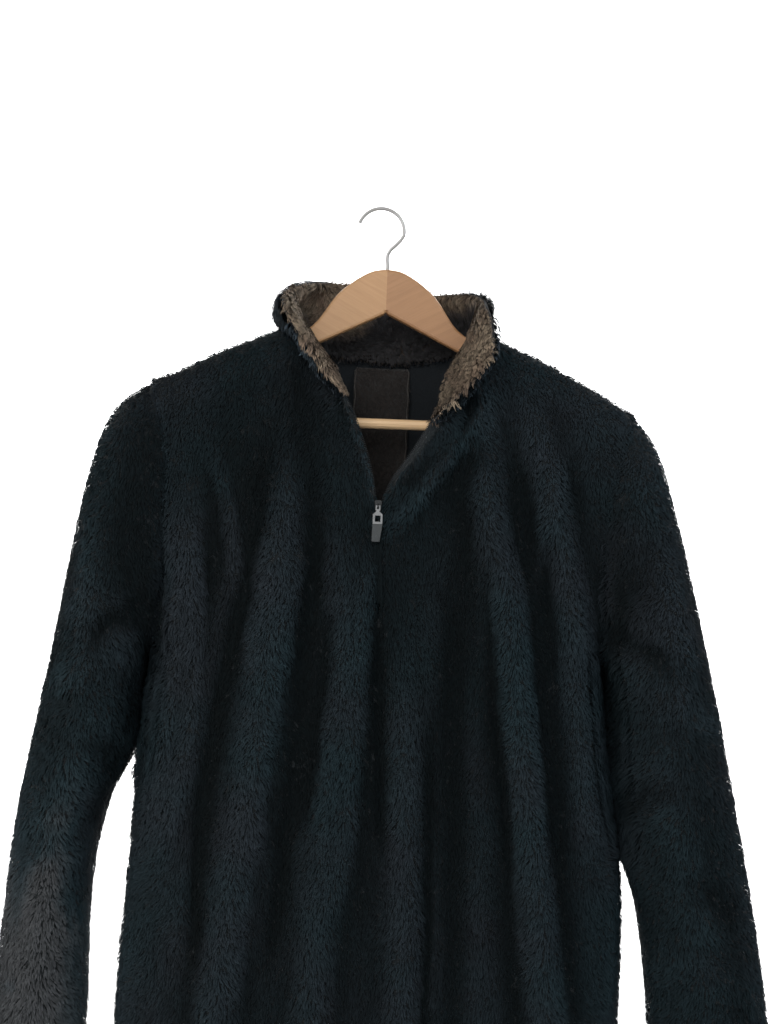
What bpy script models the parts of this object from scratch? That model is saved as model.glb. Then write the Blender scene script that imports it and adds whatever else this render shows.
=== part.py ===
"""A half-zip pullover in long-pile fleece, hanging on a plain wooden hanger.

The origin is the inner crest of the hanger's hook, where it hangs on its hook or rail.
X runs across the garment, Y runs from its front (-Y) to its back (+Y), and Z is up.
Sizes are in millimetres and are turned into metres when a mesh is made.
"""
import math

import bmesh
import bpy
import numpy as np

MM = 0.001
GAP = 0.3  # between pieces that are sewn or that touch

# Cloth
CLOTH = 7.0  # knitted backing and the pile that lies on it
LINING = 8.0  # the collar's lining has the longer pile
PATCH = 3.5  # short facing inside the back neck
SEAM_CLOTH = 3.0  # the cloth where the neck seam presses it flat
SEAM_DEPTH = 26.0  # how far down from the neck seam the cloth grows to its full thickness
LINING_SEAM = 2.0  # the lining at the neck seam
SEAM_TURN = 0.4  # share of the neck seam's sideways lean that the first row of the zip's edge takes on
ROLL_RADIUS = 14.0  # the cloth's turn over the hanger's arm, at the pile's tips
ROLL_REACH = 20.0  # how far in front of the arm or behind it that turn has faded out

# Lengths down the garment
UNDERARM_Z = -425.0
HEM_Z = -815.0
FRONT_DEPTH = 52.0  # from the hook's plane to the front's pile, at the chest
BACK_DEPTH = 46.0
SETTLE_DROP = 62.0  # below the shoulders, how quickly a panel comes out to its depth
SIDE_ROUNDNESS = 2.6  # a panel's section is this power's superellipse
ARMHOLE_SHARE = 0.45  # of a panel's half width, where the armhole's own depth fades out
ARMHOLE_ROUNDNESS = 0.8
NECK_SHARE = 0.28  # of a panel's width, from each side to the neck
NECK_BLEND = 0.12  # of the way down to the underarm, where the neck's form passes into the chest's
COLUMN_BUNCHING = 0.45  # how much closer together the columns lie at the sides
SIDE_SEAM_LEAN = 0.2  # how far the cloth leans outwards at the side seams
SHOULDER_LEAN = 0.6  # and upwards at the shoulder seams
NECK_TURNS = (0.9, 0.3)  # how far the first rows below the neck seam lean the way it does
FOLD_FROM_SEAMS = (1.6, 6)  # how quickly folds rise beside the side seams and the top seams

# Mesh density
ARM_ROWS = 12  # from the shoulder to the underarm
LOW_ROWS = 12  # from the underarm to the hem
FRONT_SHOULDER_COLUMNS = 11
FRONT_NECK_COLUMNS = 9  # on each side of the zip
BACK_SHOULDER_COLUMNS = 8
BACK_NECK_COLUMNS = 12
SLIT_ROWS = 9  # rows of the front that the zip parts
FACING_TOP_ROW, FACING_LOW_ROW = 2, 9  # rows of the back that the facing covers
FACING_COLUMNS = 2  # on each side of the back's middle
COLLAR_ROWS = 4

BULGE_LOW = 0.7  # under 1, the collar bulges most below its middle
RIM_START, RIM_SPAN = 0.7, 0.34  # up the collar, where its layers round off to the rim
EDGE_START, EDGE_SPAN = 0.05, 0.056  # round the collar, where they round off to the front edges
EDGE_LEAST = 0.4
SEAM_SHARE = 0.3  # up the collar, where they reach their full thickness

# Zip
ZIP_HALF = 3.6  # from the zip's middle to the cloth's edge where it is closed
TAPE_THICK = 1.6
TAPE_WIDTH = ZIP_HALF - GAP * 1.5  # the bare edge of one tape, with its teeth
SLIDER_Z = -284.0
SLIDER_LENGTH = 10.0
SLIDER_FACE_IN = 1.5  # the slider's front face behind the pull's axis
BRIDGE_REACH = 2.1
BRIDGE_THICK = 0.9
BRIDGE_WIDTH = 1.2
BRIDGE_STEPS = 8
PULL_AXIS_OUT = 4.4  # the pull's axis in front of the pile
EYE_HALF = 2.1
FRAME_HALF = 4.4
FRAME_LOW = -16.4  # below the axis
GRIP_LOW = -32.6
GRIP_LEAN = -1.2  # the grip's low end hangs a little to one side
TAPE_DEPTH = 0.35  # of the cloth's thickness, where the tapes and teeth lie
ZIP_START = 0.06  # of the way down to the underarm, where the cloth's edge has met the zip's own line

# Hanger
WOOD_X = 5.6  # the joint of the two halves, beside the hook's crest
WOOD_THICK = 12.0
BAR_RADIUS = 4.9
BAR_Z = -204.8
BAR_END = 200.0
WIRE = 3.6


class Table:
    """Rows of sizes, read between its rows by a smooth curve that doesn't overshoot."""

    def __init__(self, columns, rows):
        self.values = {name: np.array([row[i] for row in rows], float) for i, name in enumerate(columns)}
        self.key = columns[0]

    def at(self, name, where):
        keys, values = self.values[self.key], self.values[name]
        where = np.clip(where, min(keys), max(keys))
        if keys[0] > keys[-1]:
            keys, values = keys[::-1], values[::-1]
        step = np.diff(keys)
        slope = np.diff(values) / step
        tangent = np.concatenate(([slope[0]], slope[1:], [slope[-1]]))
        before, after = slope[:-1], slope[1:]
        same = before * after > 0
        tangent[1:-1] = np.where(same, 2 * before * after / np.where(same, before + after, 1), 0)
        i = np.clip(np.searchsorted(keys, where) - 1, 0, len(step) - 1)
        t = (where - keys[i]) / step[i]
        return (values[i] * (1 + 2 * t) * (1 - t) ** 2 + values[i + 1] * t * t * (3 - 2 * t)
                + step[i] * (tangent[i] * t * (1 - t) ** 2 - tangent[i + 1] * t * t * (1 - t)))


# The garment's two sides at the pile's tips: the armhole seams to the underarm, the side seams below it.
SIDES = Table(("z", "left", "right"), [
    (-168, -215, 246),
    (-186, -210, 245),
    (-206, -201, 241),
    (-232, -196, 231),
    (-270, -195, 223),
    (-333, -196, 222),
    (-400, -201, 223),
    (-425, -204, 224),
    (-485, -212, 228),
    (-543, -217, 236),
    (-605, -219, 247),
    (-650, -221, 253),
    (-700, -225, 253),
    (-815, -229, 252),
])

# The shoulder seams at the pile's tips, out from the neck.
SHOULDER_LEFT = Table(("x", "z"), [
    (-215, -168),
    (-200, -164.0),
    (-179, -153.3),
    (-148, -137.4),
    (-121, -126.4),
    (-100, -117.6),
    (-84, -110.5),
])
SHOULDER_RIGHT = Table(("x", "z"), [
    (94, -112.5),
    (112, -117),
    (130, -125.5),
    (156, -136),
    (182, -150),
    (203, -160),
    (224, -172),
    (246, -185),
])

# The collar, round the neck from the left front edge by the back to the right front edge: its seam, its rim,
# the way out at the seam, and how far it bulges that way between the two.
COLLAR_COLUMNS = ("s", "seam_x", "seam_y", "seam_z", "rim_x", "rim_y", "rim_z", "out_x", "out_y", "out_z",
                  "bulge")
COLLAR = Table(COLLAR_COLUMNS, [
    (0.00, -30, -54, -183, -80, -66, -120, -0.57, -0.78, -0.28, 3),
    (0.08, -41, -45, -162, -89, -51, -97, -0.65, -0.72, -0.10, 6),
    (0.16, -57, -31, -141, -88, -27, -85, -0.80, -0.50, 0.25, 11),
    (0.28, -83, 0, -117, -71, 6, -72, -0.75, 0.05, 0.66, 15),
    (0.38, -60, 31, -129, -46, 38, -65, -0.45, 0.78, 0.42, 9),
    (0.50, 8, 42, -141, 8, 60, -74, 0.00, 0.97, 0.25, 6),
    (0.62, 72, 31, -131, 62, 36, -73, 0.45, 0.78, 0.42, 8),
    (0.72, 94, 0, -114, 92, 2, -77, 0.70, 0.00, 0.71, 8),
    (0.78, 90, -14, -121, 99, -19, -88, 0.74, -0.24, 0.63, 2),
    (0.84, 69, -31, -151, 98, -42, -94, 0.92, -0.16, 0.30, 8),
    (0.92, 62, -46, -179, 104, -66, -119, 0.96, -0.22, 0.06, 5),
    (0.97, 58, -53, -197, 104, -73, -137, 0.85, -0.49, -0.15, 3),
    (1.00, 51, -57, -206, 104, -76, -147, 0.62, -0.74, -0.27, 2),
])
SIDE_NECK_LEFT, SIDE_NECK_RIGHT = 0.28, 0.72  # where the shoulder seams meet the neck

# How far the front swings out sideways just below the neck seam.
NECK_FLARE = Table(("s", "sideways"), [
    (0.00, 0),
    (0.09, -9),
    (0.20, -4),
    (0.28, 0),
    (0.72, 0),
    (0.82, 12),
    (0.92, 26),
    (0.97, 21),
    (1.00, 0),
])

FLARE_START = 0.1  # of the way down to the underarm, where that swing is reached
FLARE_FADE = 1.5

# The gap between the front's two edges, from the neck down: open above the slider, closed below it.
ZIP_GAP = Table(("z", "middle", "half"), [
    (-183, 13, 43),
    (-196, 14, 39),
    (-210, 15.5, 34.5),
    (-224, 15, 29),
    (-241, 12.8, 20.8),
    (-257, 9, 13),
    (-274, 5.5, 5.8),
    (-285, 5.5, ZIP_HALF),
    (-389, 9.2, ZIP_HALF),
])

# Folds of the front and the back: each is a ridge down a line through three points.
FOLD_COLUMNS = ("x_top", "z_top", "x_middle", "z_middle", "x_low", "z_low", "half_width", "height")
FRONT_FOLDS = [
    (-172, -300, -185, -440, -193, -640, 24, 8),
    (-78, -240, -99, -480, -139, -860, 27, 12),
    (-20, -330, -26, -520, -50, -860, 24, 8),
    (36, -430, 41, -600, 44, -860, 20, 6),
    (103, -240, 138, -460, 196, -860, 28, 13),
    (146, -190, 186, -350, 216, -620, 24, 9),
    (109, -150, 88, -198, 58, -262, 21, 6),
]
BACK_FOLDS = [
    (-150, -260, -172, -450, -180, -860, 30, 9),
    (-96, -330, -108, -520, -118, -860, 27, 9),
    (-34, -260, -44, -480, -52, -860, 30, 10),
    (30, -300, 32, -520, 28, -860, 27, 8),
    (92, -260, 104, -480, 108, -860, 30, 10),
    (158, -280, 182, -480, 194, -860, 30, 9),
]
FOLD_FADE = 70.0  # over which a fold rises and dies away
FOLD_ABOVE = 0.35  # share of its height that it already has at its top point

# The sleeves, ring by ring: the ring's top or outer end, its inner end, and its depth from front to back.
SLEEVE_COLUMNS = ("ring", "outer_x", "outer_z", "inner_x", "inner_z", "front", "back")
SLEEVE_LEFT = Table(SLEEVE_COLUMNS, [
    (0.0, -215, -168, -204, -425, 37, 35),
    (1.0, -229, -174, -205, -427, 44, 42),
    (2.0, -242, -184, -206, -428, 47, 45),
    (3.0, -253, -201, -207, -429, 49, 47),
    (4.0, -262, -226, -207.2, -430, 50, 48),
    (5.0, -273, -268, -207.4, -432, 51, 49),
    (6.0, -285, -330, -207.6, -436, 51, 49),
    (7.0, -295, -392, -208.4, -446, 50, 48),
    (8.0, -304, -450, -212.2, -474, 49, 47),
    (9.0, -315, -510, -216.6, -516, 47, 46),
    (10.0, -323, -558, -238, -560, 46, 45),
    (11.0, -330, -606, -249, -606, 45, 44),
    (12.0, -334, -655, -256, -655, 44, 43),
    (13.0, -340, -715, -257, -715, 43, 42),
    (14.0, -345, -770, -256, -770, 42, 41),
    (15.0, -348, -806, -258, -806, 40, 39),
])
SLEEVE_RIGHT = Table(SLEEVE_COLUMNS, [
    (0.0, 246, -185, 224, -425, 37, 35),
    (1.0, 256, -190, 225, -427, 44, 42),
    (2.0, 265, -202, 226, -428, 48, 46),
    (3.0, 275, -232, 227, -429, 50, 48),
    (4.0, 284, -262, 227.2, -430, 52, 50),
    (5.0, 296, -302, 227.4, -432, 53, 51),
    (6.0, 309, -350, 227.4, -436, 53, 51),
    (7.0, 321, -400, 227.6, -446, 53, 51),
    (8.0, 335, -456, 229.2, -476, 52, 50),
    (9.0, 347, -512, 234.2, -520, 51, 49),
    (10.0, 358, -562, 242.5, -568, 50, 48),
    (11.0, 367, -604, 249.5, -608, 49, 47),
    (12.0, 374, -640, 264, -644, 48, 46),
    (13.0, 386, -704, 276, -708, 47, 45),
    (14.0, 396, -764, 283, -768, 46, 44),
    (15.0, 400, -800, 286, -804, 43, 41),
])
SLEEVE_RINGS = 20
ARMHOLE_RINGS = 2.5  # rings that still follow the armhole's curve
SLEEVE_ROUNDER = 0.1  # how much rounder the sleeve is below the armhole
SLEEVE_ROUNDED_AT = 6.0
ARMHOLE_LEAN = 0.35  # how far the cloth leans outwards at the armhole seam
# Soft bends of the sleeves: how far down, at which angle round the ring, how wide and how high each one is.
SLEEVE_FOLD_COLUMNS = ("ring", "angle", "ring_width", "angle_width", "height")
SLEEVE_FOLDS = [
    (6.5, 70, 3.4, 32, 5),
    (10.5, 100, 4.0, 30, 5),
    (8.5, 150, 3.2, 26, -4),
    (12.5, 55, 3.0, 30, -4),
    (7.5, 285, 3.4, 34, 5),
    (11.5, 250, 3.6, 30, 5),
    (10.0, 320, 3.0, 28, -4),
]

# Half of the hanger, out from its middle: its upper and its lower edge.
ARM_EDGES = Table(("out", "top", "low"), [
    (0, -57, -99.2),
    (12, -58.6, -105.1),
    (24, -64.3, -110.9),
    (36, -72.6, -116.8),
    (46, -81.5, -121.6),
    (55, -93.5, -126.0),
    (63, -106.0, -129.9),
    (76, -118.2, -136.3),
    (95, -126.0, -145.6),
    (120, -135.9, -157.8),
    (150, -147.7, -172.4),
    (180, -161.7, -187.0),
    (200.3, -171.9, -196.9),
])
ARM_TIP = [(209, -176.7), (216, -181.2), (221.5, -188), (223, -196), (222, -205), (217, -211),
           (200.3, -212.5)]
ARM_TOP_STEPS = 14  # points along the arm's curved upper edge
ARM_CURVED_TO = 76.0
ARM_EDGE_ROUND = 2.4

# The wire of the hook, from its tip over its crest and down into the wood.
# The crest's inner side is the origin.
HOOK_CENTRE = (-1.9, -20.4)
HOOK_RADIUS = 20.4 + WIRE / 2
HOOK_STEPS = 18
HOOK_START = 161.0  # degrees, the free tip
HOOK_END = -8.0
HOOK_TAIL = [(17.0, -28.4), (12.2, -33.4), (7.6, -37.9), (5.2, -42.6), (5.0, -47.6), (WOOD_X, -52.5),
             (WOOD_X, -56.6)]

COLOURS = {
    "fleece": ((0.012, 0.017, 0.021), 0.95, 0.0),
    "lining": ((0.17, 0.13, 0.10), 0.95, 0.0),
    "facing": ((0.025, 0.021, 0.019), 0.95, 0.0),
    "tape": ((0.008, 0.010, 0.012), 0.8, 0.0),
    "nickel": ((0.42, 0.43, 0.43), 0.3, 1.0),
    "grip": ((0.055, 0.062, 0.068), 0.55, 0.0),
    "wood": ((0.52, 0.31, 0.16), 0.45, 0.0),
    "bar": ((0.62, 0.42, 0.21), 0.5, 0.0),
    "steel": ((0.45, 0.45, 0.44), 0.28, 1.0),
}


def material(name):
    colour, roughness, metallic = COLOURS[name]
    made = bpy.data.materials.new(name)
    made.use_nodes = True
    shader = made.node_tree.nodes["Principled BSDF"]
    shader.inputs["Base Color"].default_value = (*colour, 1)
    shader.inputs["Roughness"].default_value = roughness
    shader.inputs["Metallic"].default_value = metallic
    return made


def add_object(name, points, faces, finish, smooth_angle=40):
    """A named solid from points in millimetres."""
    mesh = bpy.data.meshes.new(name)
    mesh.from_pydata([tuple(float(c) * MM for c in p) for p in points], [], [list(f) for f in faces])
    mesh.validate()
    bm = bmesh.new()
    bm.from_mesh(mesh)
    bmesh.ops.recalc_face_normals(bm, faces=bm.faces)
    if bm.calc_volume(signed=True) < 0:
        bmesh.ops.reverse_faces(bm, faces=bm.faces)
    bm.to_mesh(mesh)
    bm.free()
    mesh.shade_smooth()
    mesh.set_sharp_from_angle(angle=math.radians(smooth_angle))
    mesh.materials.append(material(finish))
    made = bpy.data.objects.new(name, mesh)
    bpy.context.scene.collection.objects.link(made)
    return made


def unit(vectors):
    vectors = np.asarray(vectors, float)
    return vectors / np.maximum(np.linalg.norm(vectors, axis=-1, keepdims=True), 1e-9)


def grid_normals(grid, closed=False):
    """Normals of a grid of points; closed grids join their last column to their first."""
    down = np.gradient(grid, axis=0)
    if closed:
        across = (np.roll(grid, -1, axis=1) - np.roll(grid, 1, axis=1)) / 2
    else:
        across = np.gradient(grid, axis=1)
    return unit(np.cross(across, down))


def smoothed(normals, times=2):
    """Each normal averaged with its neighbours, so that the inner sheet doesn't fold on itself."""
    for _ in range(times):
        padded = np.pad(normals, ((1, 1), (1, 1), (0, 0)), mode="edge")
        beside = padded[:-2, 1:-1] + padded[2:, 1:-1] + padded[1:-1, :-2] + padded[1:-1, 2:]
        normals = unit(beside + 2 * normals)
    return normals


def grid_faces(rows, columns, closed=False):
    """Triangles between a grid's neighbours, always over the same diagonal."""
    faces = []
    for r in range(rows - 1):
        for c in range(columns if closed else columns - 1):
            here, beside = r * columns + c, r * columns + (c + 1) % columns
            faces.append((here, here + columns, beside + columns))
            faces.append((here, beside + columns, beside))
    return faces


def wall(name, outer, inner, faces, finish):
    """A closed wall between two sheets of the same faces, with a rim round their open edges."""
    count = len(outer)
    used = {}
    for face in faces:
        for a, b in zip(face, face[1:] + face[:1]):
            used[(a, b)] = True
    rim = [(a, b, b + count, a + count) for a, b in used if (b, a) not in used]
    turned = [tuple(i + count for i in reversed(face)) for face in faces]
    rim = [tuple(reversed(face)) for face in rim]
    return add_object(name, np.concatenate([outer, inner]), faces + turned + rim, finish)


# ---------------------------------------------------------------- the body's surface


def down_steps():
    """How far down each row lies: 0 to 1 from the shoulder to the underarm, then 1 to 2 down to the hem."""
    upper = (1 - np.cos(np.pi * np.arange(ARM_ROWS + 1) / ARM_ROWS)) / 2
    lower = 1 + np.arange(1, LOW_ROWS + 1) / LOW_ROWS
    return np.concatenate([upper, lower])


def collar_seam(s, offset=0.0):
    """The neck seam; offset moves it out through the cloth."""
    seam = np.array([COLLAR.at(n, s) for n in ("seam_x", "seam_y", "seam_z")])
    return seam + collar_out(s) * offset


def collar_out(s):
    return unit(np.array([COLLAR.at(n, s) for n in ("out_x", "out_y", "out_z")]))


def collar_up(s):
    """The way from the body across the neck seam to the collar."""
    step = 0.004
    along = collar_seam(min(s + step, 1)) - collar_seam(max(s - step, 0))
    up = unit(np.cross(along, collar_out(s)))
    rim = np.array([COLLAR.at(n, s) for n in ("rim_x", "rim_y", "rim_z")])
    return up * math.copysign(1, up @ (rim - collar_seam(s)))


def shares(*parts):
    """Places from 0 to 1 across a piece: each part is its end and its count of columns."""
    places, start = [0.0], 0.0
    for end, count in parts:
        places += [start + (end - start) * k / count for k in range(1, count + 1)]
        start = end
    return places


def across_body(u):
    """From -1 at the left side to 1 at the right, closer together at the sides."""
    return (1 - COLUMN_BUNCHING) * (2 * u - 1) - COLUMN_BUNCHING * math.cos(math.pi * u)


def top_edge(u, back, half):
    """The panel's top edge, along a shoulder seam or the neck seam, with its place round the neck seam."""
    shoulder_y = GAP / 2 if back else -GAP / 2
    if u < NECK_SHARE:
        outer, neck = SHOULDER_LEFT.values["x"][0], collar_seam(SIDE_NECK_LEFT, SEAM_CLOTH)[0]
        x = outer + (neck - outer) * u / NECK_SHARE
        return np.array([x, shoulder_y, SHOULDER_LEFT.at("z", x)]), None
    if u > 1 - NECK_SHARE:
        outer, neck = SHOULDER_RIGHT.values["x"][-1], collar_seam(SIDE_NECK_RIGHT, SEAM_CLOTH)[0]
        x = outer + (neck - outer) * (1 - u) / NECK_SHARE
        return np.array([x, shoulder_y, SHOULDER_RIGHT.at("z", x)]), None
    if back:
        s = SIDE_NECK_LEFT + (SIDE_NECK_RIGHT - SIDE_NECK_LEFT) * (u - NECK_SHARE) / (1 - 2 * NECK_SHARE)
    elif half < 0:
        s = SIDE_NECK_LEFT * (0.5 - u) / (0.5 - NECK_SHARE)
    else:
        s = 1 - (1 - SIDE_NECK_RIGHT) * (u - 0.5) / (0.5 - NECK_SHARE)
    return collar_seam(s, SEAM_CLOTH), s


def fold_height(folds, x, z):
    """The folds' height over a panel at one place."""
    total = 0.0
    for row in folds:
        fold = dict(zip(FOLD_COLUMNS, row))
        line = np.polyfit([fold["z_top"], fold["z_middle"], fold["z_low"]],
                          [fold["x_top"], fold["x_middle"], fold["x_low"]], 2)
        away = min(abs(x - np.polyval(line, z)) / fold["half_width"], 1.0)
        fade = min(FOLD_FADE, abs(fold["z_top"] - fold["z_low"]) / 3)
        enters = np.clip((fold["z_top"] - z) / fade + FOLD_ABOVE, 0, 1)
        leaves = np.clip((z - fold["z_low"]) / fade, 0, 1)
        total += fold["height"] * math.cos(math.pi / 2 * away) ** 2 * enters * leaves
    return total


def ease(t):
    return t * t * (3 - 2 * t)


def body_point(u, t, back=False, half=-1):
    """A point of the front's or back's outer surface, u across it and t down it."""
    w = across_body(u)
    side = (1 - abs(w) ** SIDE_ROUNDNESS) ** (1 / SIDE_ROUNDNESS) if abs(w) < 1 else 0.0
    depth = BACK_DEPTH if back else FRONT_DEPTH
    if t <= 1:
        x, y, z = upper_point(u, t, w, side, depth, back, half)
    else:
        z = UNDERARM_Z + (HEM_Z - UNDERARM_Z) * (t - 1)
        left, right = SIDES.at("left", z), SIDES.at("right", z)
        x = (left + right) / 2 + (right - left) / 2 * w
        y = GAP / 2 + (depth - GAP / 2) * side
    # Folds keep off the side seams and the top seams.
    beside, below = FOLD_FROM_SEAMS
    y += fold_height(BACK_FOLDS if back else FRONT_FOLDS, x, z) * min(1, beside * side) * min(1, below * t)
    return np.array([x, max(y, GAP / 2) * (1 if back else -1), z])


def upper_point(u, t, w, side, depth, back, half):
    """The part above the underarm: it passes over the hanger's arm and out to the chest's depth."""
    top, s = top_edge(u, back, half)
    z = top[2] + (UNDERARM_Z - top[2]) * t
    left_low, right_low = SIDES.at("left", UNDERARM_Z), SIDES.at("right", UNDERARM_Z)
    x_low = (left_low + right_low) / 2 + (right_low - left_low) / 2 * w
    x = top[0] + (x_low - top[0]) * ease(t) + side_shift(u, t, back, half)
    if s is not None:
        side = 1 - (1 - side) * min(1, t / NECK_BLEND)
        if not back:
            x += NECK_FLARE.at("sideways", s) * min(1, t / FLARE_START) * (1 - t) ** FLARE_FADE
    drop, y_top = top[2] - z, abs(top[1])
    settled = (1 - math.exp(-drop / SETTLE_DROP)) / (1 - math.exp((UNDERARM_Z - top[2]) / SETTLE_DROP))
    turn = min(drop / ROLL_RADIUS, 1)
    off_arm = max(0, 1 - y_top / ROLL_REACH)
    over = ROLL_RADIUS * math.sqrt(1 - (1 - turn) ** 2) * off_arm * (1 - settled)
    core = y_top + (depth - y_top) * settled + over
    near_side = min(1, (1 - abs(w)) / ARMHOLE_SHARE)
    edge = armhole_depth(t, back) * math.cos(math.pi / 2 * near_side) ** 2
    return x, ((core * side) ** 3 + edge ** 3) ** (1 / 3), z


def side_shift(u, t, back, half):
    """Brings the outer columns onto the armhole seam, and the inner ones onto the zip's edge."""
    for seam, table, end, near in (("left", SHOULDER_LEFT, 0, 1 - u / NECK_SHARE),
                                   ("right", SHOULDER_RIGHT, -1, 1 - (1 - u) / NECK_SHARE)):
        if near > 0:
            top, low = table.values["x"][end], SIDES.at(seam, UNDERARM_Z)
            seam_z = table.values["z"][end] + (UNDERARM_Z - table.values["z"][end]) * t
            return (SIDES.at(seam, seam_z) - (top + (low - top) * ease(t))) * near
    if back:
        return 0.0
    edge_top = top_edge(0.5, False, half)[0]
    edge_z = edge_top[2] + (UNDERARM_Z - edge_top[2]) * t
    middle = (SIDES.at("left", UNDERARM_Z) + SIDES.at("right", UNDERARM_Z)) / 2
    zip_low = ZIP_GAP.values["z"][-1]
    below = np.clip((zip_low - edge_z) / (zip_low - UNDERARM_Z), 0, 1)
    wanted = ZIP_GAP.at("middle", edge_z) + half * ZIP_GAP.at("half", edge_z)
    wanted += (middle - wanted) * below
    near = (0.5 - NECK_SHARE - abs(u - 0.5)) / (0.5 - NECK_SHARE)
    return (wanted - (edge_top[0] + (middle - edge_top[0]) * ease(t))) * near ** 2 * min(1, t / ZIP_START)


def armhole_angle(t):
    return math.acos(np.clip(1 - 2 * t, -1, 1))


def armhole_depth(t, back):
    sleeve = SLEEVE_LEFT.values["back" if back else "front"][0]
    return GAP / 2 + (sleeve - GAP / 2) * max(math.sin(armhole_angle(min(t, 1))), 0) ** ARMHOLE_ROUNDNESS


def armhole_out(t, back, side):
    """The way out through the cloth along the armhole seam; side is -1 on the left."""
    turn = armhole_angle(t)
    return unit([side * ARMHOLE_LEAN, (1 if back else -1) * math.sin(turn), math.cos(turn)])


def cloth_thickness(grid, neck):
    """Full cloth, thinner close to the neck seam."""
    below = np.linalg.norm(grid - grid[:1], axis=-1)
    seamed = np.array([s is not None for s in neck])
    grown = np.minimum(below / SEAM_DEPTH, 1)
    return np.where(seamed[None, :], SEAM_CLOTH + (CLOTH - SEAM_CLOTH) * grown, CLOTH)[..., None]


def panel_normals(grid, steps, back, left, right, neck):
    """The panel's normals, with the seams' shared ones along its edges."""
    normals = smoothed(grid_normals(grid))
    if not back:
        flip = np.sign(-normals[..., 1].mean())
    else:
        flip = np.sign(normals[..., 1].mean())
    normals = normals * flip
    for r, t in enumerate(steps):
        for column, side in ((0, -1), (-1, 1)):
            if (side < 0 and not left) or (side > 0 and not right):
                continue
            if t <= 1:
                normals[r, column] = armhole_out(t, back, side)
            else:
                normals[r, column] = unit(normals[r, column] * (1, 0, 1) + (side * SIDE_SEAM_LEAN, 0, 0))
    for c, s in enumerate(neck):
        if s is None:
            if 0 < c < grid.shape[1] - 1 or (c == 0 and not left) or (c == grid.shape[1] - 1 and not right):
                normals[0, c] = unit(normals[0, c] * (1, 0, 1) + (0, 0, SHOULDER_LEAN))
        else:
            normals[0, c] = collar_out(s)
            for row, share in enumerate(NECK_TURNS, 1):
                normals[row, c] = unit(normals[row, c] + share * normals[0, c])
    return normals


def seam_clearance(grid, steps, left, right, neck):
    """Draws the panel back from the armhole and neck seams by half a gap."""
    # The armhole seams lie across X, the neck seam across the collar's way up.
    for r, t in enumerate(steps):
        if t <= 1 and left:
            grid[r, 0, 0] += GAP / 2
        if t <= 1 and right:
            grid[r, -1, 0] -= GAP / 2
    for c, s in enumerate(neck):
        if s is not None:
            grid[0, c] -= collar_up(s) * GAP / 2
    return grid


def front_halves():
    """The front's two halves as grids of outer points and normals, parted by the zip down to SLIT_ROWS."""
    steps = down_steps()
    halves = []
    for half in (-1, 1):
        us = shares((NECK_SHARE, FRONT_SHOULDER_COLUMNS), (0.5, FRONT_NECK_COLUMNS))
        us = us if half < 0 else [1 - u for u in reversed(us)]
        grid = np.array([[body_point(u, t, False, half) for u in us] for t in steps])
        neck = [top_edge(u, False, half)[1] for u in us]
        grid = seam_clearance(grid, steps, half < 0, half > 0, neck)
        normals = panel_normals(grid, steps, False, half < 0, half > 0, neck)
        zip_column = -1 if half < 0 else 0
        # The zip's edges lie straight across, and turn towards the neck seam in their first row.
        sideways = normals[0, zip_column] * (1, 0, 0)
        normals[1:, zip_column] = unit(normals[1:, zip_column] * (0, 1, 1))
        normals[1, zip_column] = unit(normals[1, zip_column] + sideways * SEAM_TURN)
        halves.append([grid, normals, cloth_thickness(grid, neck)])
    (left, left_normals), (right, right_normals) = halves[0][:2], halves[1][:2]
    for r in range(SLIT_ROWS, len(steps)):
        middle = (left[r, -1] + right[r, 0]) / 2
        normal = unit(left_normals[r, -1] + right_normals[r, 0])
        left[r, -1] = right[r, 0] = middle
        left_normals[r, -1] = right_normals[r, 0] = normal
    return halves


def make_front():
    (left, left_normals, left_thick), (right, right_normals, right_thick) = front_halves()
    rows, columns = left.shape[:2]
    faces = grid_faces(rows, columns)
    index = {}
    for r in range(rows):
        for c in range(columns):
            place = r * columns + c
            shared = c == 0 and r >= SLIT_ROWS
            index[place] = r * columns + columns - 1 if shared else rows * columns + place
    faces += [tuple(index[i] for i in face) for face in grid_faces(rows, columns)]
    outer = np.concatenate([left.reshape(-1, 3), right.reshape(-1, 3)])
    normals = np.concatenate([left_normals.reshape(-1, 3), right_normals.reshape(-1, 3)])
    inner = outer - normals * np.concatenate([left_thick.reshape(-1, 1), right_thick.reshape(-1, 1)])
    used = sorted({i for face in faces for i in face})
    renumber = {old: new for new, old in enumerate(used)}
    faces = [tuple(renumber[i] for i in face) for face in faces]
    return wall("front", outer[used], inner[used], faces, "fleece")


def back_grid():
    steps = down_steps()
    us = shares((NECK_SHARE, BACK_SHOULDER_COLUMNS), (1 - NECK_SHARE, BACK_NECK_COLUMNS),
                (1, BACK_SHOULDER_COLUMNS))
    grid = np.array([[body_point(u, t, True) for u in us] for t in steps])
    neck = [top_edge(u, True, -1)[1] for u in us]
    grid = seam_clearance(grid, steps, True, True, neck)
    normals = panel_normals(grid, steps, True, True, True, neck)
    return grid, normals, cloth_thickness(grid, neck)


def make_back():
    grid, normals, thick = back_grid()
    rows, columns = grid.shape[:2]
    inner = grid - normals * thick
    wall("back", grid.reshape(-1, 3), inner.reshape(-1, 3), grid_faces(rows, columns), "fleece")
    # The facing lies on the back's inner side, over a few of its own columns.
    down = slice(FACING_TOP_ROW, FACING_LOW_ROW + 1)
    across = slice(columns // 2 - FACING_COLUMNS, columns // 2 + FACING_COLUMNS + 1)
    piece, out = inner[down, across], normals[down, across]
    rows, columns = piece.shape[:2]
    under = (piece - out * GAP).reshape(-1, 3)
    over = (piece - out * (GAP + PATCH)).reshape(-1, 3)
    wall("neck_facing", under, over, grid_faces(rows, columns), "facing")


# ---------------------------------------------------------------- sleeves


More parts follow.
